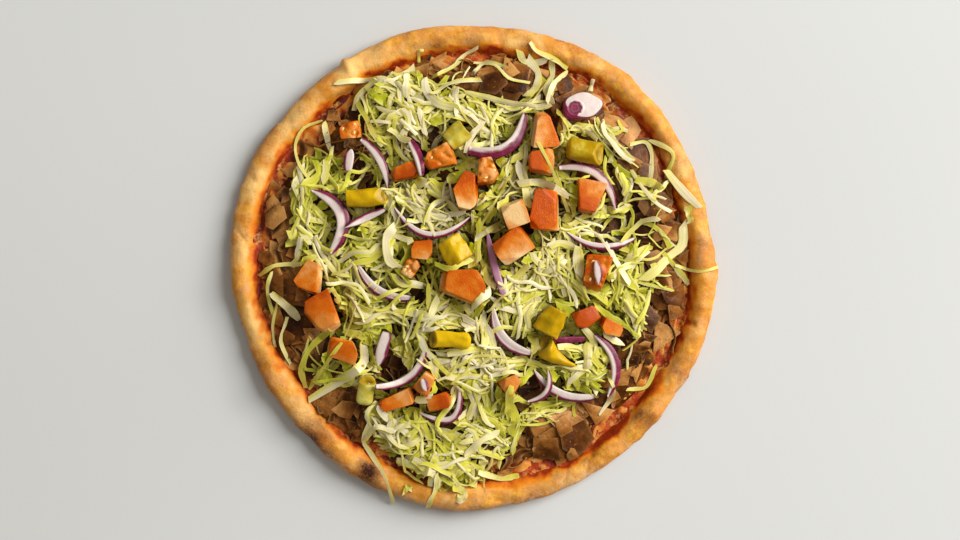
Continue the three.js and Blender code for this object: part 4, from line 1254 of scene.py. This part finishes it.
def slicePepper(index, x, y, length, width, turn, ends, ripe, seedShell):
    rng = np.random.default_rng(400 + index)
    outer, inner = pepperProfile(length, width, ends)
    profile = np.vstack([outer, inner[:-1] if ends == "both" else inner])
    around = np.linspace(0, math.tau, pepper["columns"], endpoint=False)
    r, a = np.meshgrid(profile[:, 0], around, indexing="ij")
    h = np.repeat(profile[:, 1:2], len(around), axis=1)
    lobes = 1 + 0.06 * np.cos(3 * a + rng.uniform(0, 6)) + 0.03 * np.cos(5 * a + h / 6 + rng.uniform(0, 6))
    dentAt = rng.uniform(0.9, 2.2)  # a long dent somewhere on its upper side
    dent = rng.uniform(0.06, 0.16) * np.exp(-(((a - dentAt) / 0.4) ** 2))
    lobes = lobes - dent * np.sin(math.pi * rampUp(h, 0, length))
    bend = 0.02 * (h - length / 2) ** 2 * rng.uniform(-1, 1) * (1 if ends != "both" else 0.4)
    px, py, pz = h - length / 2, r * lobes * np.cos(a) + bend, r * lobes * np.sin(a) * pepper["flat"]
    isInner = (np.arange(len(profile)) >= len(outer) - 1)[:, None] * np.ones(len(around))
    pz = pz * (1 - (0.68 if ends == "both" else rng.uniform(0.25, 0.5)) * isInner * rampUp(r, 0.3, 1))
    cut = rampUp(h, 0.5 * length, length)
    slant = pepper["slant"] * (1.5 if ends == "both" else 1)
    px = px + cut * (0.3 - slant * pz + 0.5 * np.cos(2 * a + rng.uniform(0, 6)))
    points = np.stack([px, py, pz], axis=-1).reshape(-1, 3)
    points += 0.25 * ripple(points + 40 * index, 6, 91)[:, None] * [0, 1, 1]
    quads = gridQuads(len(profile), len(around), closedRows=ends == "both")
    batch = Batch()
    batch.add(points, quads, inner=isInner.ravel(), ripe=ripe + 0.12 * ripple(points, 12, 92), seed=0.0)
    if ends != "both":
        # the profile starts and ends on the axis, in holes too small to see: close both
        batch.quads.append(endFans(len(profile), len(around)))
    for _ in range(rng.integers(5, 9) if ends != "both" else 0):
        depth = length * rng.uniform(0.62, 0.9) - length / 2
        way = rng.uniform(0, math.tau)
        far = (width / 2 - pepper["wall"] - 0.4) * (0.92 if ends != "tip" else 0.8)
        at = (depth, far * math.cos(way) * 0.9, far * math.sin(way) * pepper["flat"] * 0.9)
        spin = np.array(Matrix.Rotation(way, 3, "X") @ Matrix.Rotation(rng.uniform(0, 6), 3, "Y"))
        sizes = np.array(pepper["seedSize"])
        batch.add(seedAt(seedShell[0], at, sizes, spin), seedShell[1], inner=0.0, ripe=ripe, seed=1.0)
    allPoints = np.vstack(batch.points)
    batch.points = [settleOn(allPoints, f"pepper_{index}", x, y, turn)]
    return batch.mesh(f"pepperPiece_{index}", 55)


def chopPepper(index, x, y, length, width, turn, ends, ripe, cube):
    # a thick piece of the wall, with the grooves between its ribs
    rng = np.random.default_rng(400 + index)
    p = squareOff(cube[0], pepper["square"])
    across = p[:, 1] * (1 + rng.uniform(-0.2, 0.2) * p[:, 0])
    rib = 1.5 - 2.2 * np.abs(across - rng.uniform(-0.25, 0.25))
    rib = rib + 0.15 * np.cos(4 * p[:, 0] + rng.uniform(0, 6))
    tall = width * 0.3 * (1 - 0.25 * across**2)
    body = np.stack([p[:, 0] * length / 2 + 0.3 * np.sin(3 * across + rng.uniform(0, 6)),
                     across * width / 2 * (1 + 0.04 * np.cos(3 * p[:, 0])), p[:, 2] * tall], axis=1)
    body[:, 2] += 1.1 * rib * (p[:, 2] > 0) * np.abs(p[:, 2])
    body += 0.3 * ripple(body + 30 * index, 5, 97)[:, None] * p
    inner = 0.7 * rampUp(np.abs(p[:, 0]), 0.86, 0.95)
    body = settleOn(body, f"pepper_{index}", x, y, turn)
    marks = {"inner": inner, "ripe": ripe + 0.15 * ripple(body, 9, 92), "seed": 0 * inner}
    return makeMesh(f"pepperPiece_{index}", body, cube[1], marks, sharpAngle=60)


pickled = pepperFinish()
for index, piece in enumerate(pepper["pieces"], start=1):
    if piece[5] == "chunk":
        mesh = chopPepper(index, *piece, cube)
    else:
        mesh = slicePepper(index, *piece, seedShell)
    addPiece(f"pepperPiece_{index}", mesh, pickled, "pickled_pepper", f"pepper_{index}")
    stackMesh(mesh)
print("pepper is sliced")

onion = {
    "strips": [  # from, to, bow, width, kind, and how much its two ends taper
        ((-73.5, 82.5), (-56.2, 50.5), 4.5, 5.6, "white", 0.2, 0.7),
        ((-82, 62), (-79.8, 76), 0.7, 6.6, "white", 0.15, 0.5),
        ((-44.7, 85), (-33.8, 58.5), 2.6, 6.2, "rich", 0.8, 0.25),
        ((-3, 75.2), (33.5, 100), -12.8, 8, "purple", 0.12, 0.35),
        ((56, 64.1), (92.9, 36.1), 11.5, 5.9, "white", 0.15, 0.6),
        ((60.9, 21.7), (105.9, 17.8), -7.5, 4.6, "white", 0.5, 0.3),
        ((-106, 49.1), (-93.6, 8), 14.6, 8.8, "rich", 0.5, 0.3),
        ((-84, 24.3), (-57.5, 36.6), 0.6, 5.4, "white", 0.9, 0.3),
        ((-52, 38.5), (-2.4, 31.5), -15.3, 4.6, "white", 0.5, 0.4),
        ((-76, 2.2), (-40.8, -21.3), -7.8, 6, "double", 0.6, 0.2),
        ((-56.5, -43.5), (-62.3, -65.6), 0, 8, "white", 0.12, 0.6),
        ((-63.5, -79), (-31, -49), -10.5, 5.6, "white", 0.15, 0.6),
        ((-34.5, -97), (-9, -80), -14, 4.8, "white", 0.3, 0.3),
        ((9, 22.4), (20, -20.5), -1.2, 5.2, "pink", 0.6, 0.15),
        ((12.8, -27), (38.5, -57.5), -8.5, 7.4, "double", 0.5, 0.3),
        ((52, -48.2), (73, -47.8), -0.4, 4.2, "skin", 0.2, 0.2),
        ((79, -45.5), (88, -86), 9.5, 6.3, "rich", 0.4, 0.4),
        ((39.4, -68), (79, -86), -7.5, 6, "white", 0.6, 0.12),
        ((48.5, -68), (35.5, -89.1), 7, 4.3, "white", 0.5, 0.3),
        ((79, 3.2), (80.7, -12.5), 1, 5.6, "white", 0.5, 0.8),
        ((-32.8, -73.5), (-30.4, -81.5), 0, 5, "white", 0.2, 0.4),
    ],
    "thickness": 3.1,
    "stations": 34,
    "around": 28,
    "end": {"x": 70.7, "y": 103.9, "length": 27, "width": 18, "turn": 12,
            "heart": (-5, -0.5), "heartSize": 4.8},
}


def onionFinish():
    finish = Finish("redOnion", Specular_IOR_Level=0.3)
    cell = finish.noise(0.8, 3, 0.6)
    flesh = finish.patches("dcd0c4", cell, 0.35, 0.75, 1.0, "cdb8b4")
    flesh = finish.mix(finish.mark("blush"), flesh, "a4628e")
    peel = finish.ramp(finish.noise(3.5, 3, 0.6), [(0.3, "580e2e"), (0.6, "7e2042"), (0.85, "a4466c")])
    return finish.done(finish.mix(finish.mark("peel"), flesh, peel), cell, 0.18, 0.36, cell, 0.15)


def bowedLine(start, end, bow, count):
    start, end = np.array(start, float), np.array(end, float)
    chord = end - start
    normal = np.array([-chord[1], chord[0]]) / np.linalg.norm(chord)
    t = np.linspace(0, 1, count)[:, None]
    return start + chord * t + normal * bow * 4 * t * (1 - t), t[:, 0]


def solidHeights(node, line):
    # height of the middle of a strip's solid along its line
    corners = np.array([v.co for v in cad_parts[node].data.vertices]) / mm
    gaps = np.hypot(line[:, None, 0] - corners[None, :, 0], line[:, None, 1] - corners[None, :, 1])
    weight = np.exp(-(gaps / 3.2) ** 2) + 1e-9
    return (weight * corners[None, :, 2]).sum(1) / weight.sum(1)


def sliceOnion(index, start, end, bow, width, kind, taperStart, taperEnd):
    node = f"onion_{index:02d}"
    line, t = bowedLine(start, end, bow, onion["stations"])
    height = solidHeights(node, line)
    path = np.stack([line[:, 0], line[:, 1], height], axis=1)
    path[:, 2] = np.convolve(np.pad(path[:, 2], 3, mode="edge"), np.full(7, 1 / 7), mode="valid") + 0.3
    half = width / 2 * np.sin(math.pi * np.clip(t, 0.008, 0.992)) ** (taperStart * (1 - t) + taperEnd * t)
    convex = 1 if bow >= 0 else -1
    around = np.linspace(0, math.tau, onion["around"], endpoint=False)
    a = np.sign(np.cos(around)) * np.abs(np.cos(around)) ** 0.7
    b = np.sign(np.sin(around)) * np.abs(np.sin(around)) ** 0.4
    tip = -convex * (14 if kind in ("rich", "purple") else 5) * degree
    _, side, lift = axesAlong(path, tip)
    thick = onion["thickness"] / 2 * (0.5 + 0.5 * (half / half.max())) * (1 + 0.06 * np.sin(t * 9))
    groove = 0.35 * np.exp(-((a - 0.1 * convex) / 0.16) ** 2) * (b > 0) if kind == "double" else 0 * a
    points = (path[:, None, :] + side[:, None, :] * (half[:, None] * a[None, :])[..., None]
              + lift[:, None, :] * (thick[:, None] * (b - groove)[None, :])[..., None])
    outward = np.tile(a * convex, len(path))
    upward = np.tile(b, len(path))
    # millimetres of the skin that show
    shown = {"purple": 0.66 * width, "skin": 2 * width, "pink": 0.5, "rich": 3.9}.get(kind, 1.8)
    reach = 1 - 2 * shown / width
    peel = rampUp(outward + 0.1 * ripple(points.reshape(-1, 3), 6, 93), reach - 0.1, reach + 0.1)
    if kind == "double":
        peel = np.maximum(peel, np.exp(-((outward - 0.1) / 0.09) ** 2) * (upward > 0))
    blush = 0.25 * rampUp(outward, 0.1, 1) + 0.12 * ripple(points.reshape(-1, 3), 9, 94)
    if kind == "pink":
        blush = blush + 0.75
    rows, columns = len(path), onion["around"]
    quads = np.vstack([gridQuads(rows, columns), endFans(rows, columns)])
    marks = {"peel": np.clip(peel, 0, 1), "blush": np.clip(blush, 0, 1)}
    return makeMesh(f"onionPiece_{index:02d}", points.reshape(-1, 3), quads, marks)


def onionEndMesh():
    # the cut end of an onion: oval, its layers as low rings round a magenta core
    end = onion["end"]
    profile = [(0, 0), (0.3, 0), (0.46, 0.3), (0.5, 1.8), (0.49, 3.4), (0.46, 4.1), (0.42, 4.3), (0.36, 4.4),
               (0.3, 4.5), (0.24, 4.6), (0.18, 4.7), (0.12, 4.75), (0.06, 4.8), (0, 4.8)]
    fine = smoothLine(profile, 3)

    def fromHeart(x, y):
        return np.hypot(x - end["heart"][0], y - end["heart"][1]) / end["heartSize"]

    def shape(r, z, angle):
        wobble = 1 + 0.04 * np.cos(3 * angle + 1) + 0.03 * np.cos(5 * angle)
        x, y = r * np.cos(angle) * wobble * end["length"], r * np.sin(angle) * wobble * end["width"]
        ring = fromHeart(x, y)
        return np.stack([x, y, z + 0.3 * (z > 4) * np.exp(-(((ring - 1.08) / 0.12) ** 2))], axis=-1)

    def marks(points, r, z, angle):
        # purple skin round the outside, widest at the left, and a magenta heart left of the middle
        wide = 0.014 + 0.16 * np.clip(np.cos(angle + 2.6), 0, 1) ** 2
        rim = rampUp(r, 0.485 - wide, 0.5 - wide)
        heart = fromHeart(points[..., 0], points[..., 1]) + 0.1 * ripple(points, 3, 95)
        core = softStep(-heart, -1.02, -0.92) * (1 - 0.12 * np.exp(-((heart - 0.55) / 0.1) ** 2))
        blush = 0.05 + 0.08 * ripple(points, 5, 96)
        return {"peel": np.clip(rim + core, 0, 1), "blush": np.clip(blush, 0, 1)}

    mesh = roundLayer("onionEnd", fine, 72, shape, marks)
    points = np.array([v.co for v in mesh.vertices]) / mm
    points = settleOn(points, "onion_end", end["x"], end["y"], end["turn"])
    mesh.vertices.foreach_set("co", (points * mm).astype(np.float32).ravel())
    mesh.update()
    return mesh


crisp = onionFinish()
mesh = onionEndMesh()
addPiece("onionEnd", mesh, crisp, "red_onion", "onion_end")
stackMesh(mesh)
for index, strip in enumerate(onion["strips"], start=1):
    mesh = sliceOnion(index, *strip)
    addPiece(f"onionPiece_{index:02d}", mesh, crisp, "red_onion", f"onion_{index:02d}")
    stackMesh(mesh)
print("onion is sliced")

# strands that lie on the toppings or hang out over the rim
looseStrands = [  # points of the line, width, kind, how green
    ([(37, 147), (42, 141), (53, 136), (62, 130)], 3.0, "blade", 0.25),
    ([(30, 142), (33, 135), (41, 134), (49, 136)], 4.0, "rib", 0.1),
    ([(36, 138), (43, 125), (40, 116), (35, 111)], 4.4, "blade", 0.1),
    ([(51, 136), (52, 125), (48, 115), (53, 106)], 4.0, "blade", 0.05),
    ([(62, 128), (53, 120), (48, 107)], 3.4, "rib", 0.1),
    ([(0, 134), (14, 132), (23, 123), (37, 120)], 1.8, "thread", 0.1),
    ([(-1, 126), (8, 134), (21, 131)], 2.2, "blade", 0.1),
    ([(79, 123), (77, 115)], 2.4, "rib", 0),
    ([(-36, 134), (-36, 141), (-33, 142)], 1.8, "thread", 0.3),
    ([(3, 144), (-6, 139), (-14, 131), (-27, 124)], 2.4, "blade", 0.15),
    ([(-91, 120), (-75, 122), (-57, 122)], 3.4, "rib", 0.1),
    ([(-100, 96), (-112, 91), (-118, 80), (-116, 69), (-109, 58)], 2.0, "thread", 0.3),
    ([(-99, 95), (-97, 85), (-94, 75)], 3.4, "rib", 0.05),
    ([(-142, -7), (-131, 0), (-113, 1)], 2.6, "blade", 0.3),
    ([(-133, -4), (-136, -17), (-132, -34)], 2.2, "thread", 0.3),
    ([(-133, -18), (-124, -26), (-115, -36)], 4.8, "blade", 0.0),
    ([(-123, -34), (-127, -50), (-121, -65)], 2.2, "blade", 0.15),
    ([(-129, -24), (-133, -41), (-131, -54)], 1.6, "thread", 0.2),
    ([(-72, -52), (-73, -65), (-90, -77), (-109, -89)], 5.2, "rib", 0.05),
    ([(-94, -42), (-107, -54), (-114, -68), (-111, -81)], 3.2, "blade", 0.6),
    ([(-86, -50), (-100, -69), (-109, -82)], 2.4, "blade", 0.5),
    ([(-70, -94), (-68, -102), (-73, -115), (-68, -124), (-59, -138), (-53, -158)], 3.0, "blade", 0.15),
    ([(-64, -89), (-70, -99), (-64, -112)], 2.4, "rib", 0.1),
    ([(-72, -115), (-64, -106), (-51, -109)], 3.6, "rib", 0.05),
    ([(-38, -136), (-28, -135), (-22, -145)], 4.6, "blade", 0.1),
    ([(-24, -136), (-25, -147), (-30, -160)], 2.6, "blade", 0.2),
    ([(-14, -145), (-6, -150), (-11, -156)], 4.6, "leaf", 0.25),
    ([(-46, -148), (-40, -146)], 4.0, "leaf", 0.4),
    ([(3, -136), (18, -141), (30, -139)], 3.6, "blade", 0.3),
    ([(-6, -125), (5, -115), (17, -109)], 3.8, "rib", 0.1),
    ([(30, -102), (27, -115), (25, -123)], 2.0, "thread", 0.2),
    ([(25, -78), (23, -89), (27, -99), (25, -112)], 6.0, "leaf", 0.5),
    ([(-44, 126), (-44, 110)], 4.0, "rib", 0.05),
    ([(-32, 123), (-31, 115), (-23, 106), (-9, 103)], 5.0, "rib", 0.05),
    ([(-6, 114), (18, 108), (41, 104)], 3.2, "rib", 0.1),
    ([(-27, 112), (-14, 120), (5, 122)], 3.0, "blade", 0.15),
    ([(-64, 122), (-75, 112), (-79, 102)], 3.6, "rib", 0.1),
    ([(-51, 26), (-57, 17), (-55, 4), (-50, -1)], 5.4, "rib", 0.05),
    ([(29, 53), (44, 54), (62, 45)], 5.0, "rib", 0.02),
    ([(11, -16), (-1, -27)], 5.0, "rib", 0.0),
    ([(68, 12), (69, -7)], 6.4, "rib", 0.12),
    ([(103, 80), (114, 81), (118, 71), (116, 57)], 2.6, "blade", 0.15),
    ([(116, 83), (131, 74), (127, 58)], 2.6, "blade", 0.3),
    ([(127, 63), (137, 50), (149, 38)], 5.0, "rib", 0.05),
    ([(106, 56), (118, 54), (124, 50)], 5.0, "blade", 0.35),
    ([(138, 28), (138, 14), (129, 6), (120, -3), (111, -10)], 5.6, "rib", 0.2),
    ([(125, 8), (133, -1), (142, -13)], 3.4, "blade", 0.35),
    ([(161, -1), (148, -4), (133, 0)], 1.8, "thread", 0.3),
    ([(141, 39), (143, 28)], 5.0, "leaf", 0.3),
    ([(97, 15), (109, 28), (122, 31)], 3.0, "blade", 0.2),
    ([(121, -66), (114, -80), (101, -82)], 2.6, "blade", 0.4),
    ([(88, -71), (92, -84), (83, -99)], 2.4, "blade", 0.1),
    ([(75, -50), (74, -67)], 5.6, "rib", 0.2),
    ([(42, 80), (53, 58), (62, 35)], 2.0, "thread", 0.3),
    ([(-16, 45), (-27, 39), (-31, 28)], 3.0, "rib", 0.1),
    ([(18, 28), (1, 17)], 3.4, "rib", 0.2),
]

scatterStrands(growth, batches, ["leaf", "blade"], 0.8)
scatterStrands(growth, batches, ["rib", "thread"], 2.6)
for points, width, kind, green in looseStrands:
    path = smoothLine(points, max(3, 18 // len(points)))
    s = np.linspace(-1, 1, len(path))
    loft = 0.3 + 0.8 * (1 - s * s) * growth.uniform(0, 1)
    roll = growth.normal(0, 0.22) + 0.25 * s
    shredStrand(growth, kind, batches[kind], path[:, 0], path[:, 1], width / 2, loft, roll, 1.6, green, 0.1)
leafy = {"rib": lettuceFinish("lettuceRib", True), "blade": lettuceFinish("lettuceLeaf", False)}
for kind, batch in batches.items():
    points = np.vstack(batch.points)
    # painted shade: the deeper a point lies under the top of the pile, the darker the finish paints it
    depth = pileAt(points[:, 0], points[:, 1]) - points[:, 2]
    batch.marks["deep"] = [0.94 * softStep(depth, 2.4, 5.0)]
    finish = leafy["rib" if kind == "rib" else "blade"]
    addPiece(f"lettuce_{kind}", batch.mesh(f"lettuce_{kind}", 50), finish, "lettuce", "lettuce")
print("salad is heaped")
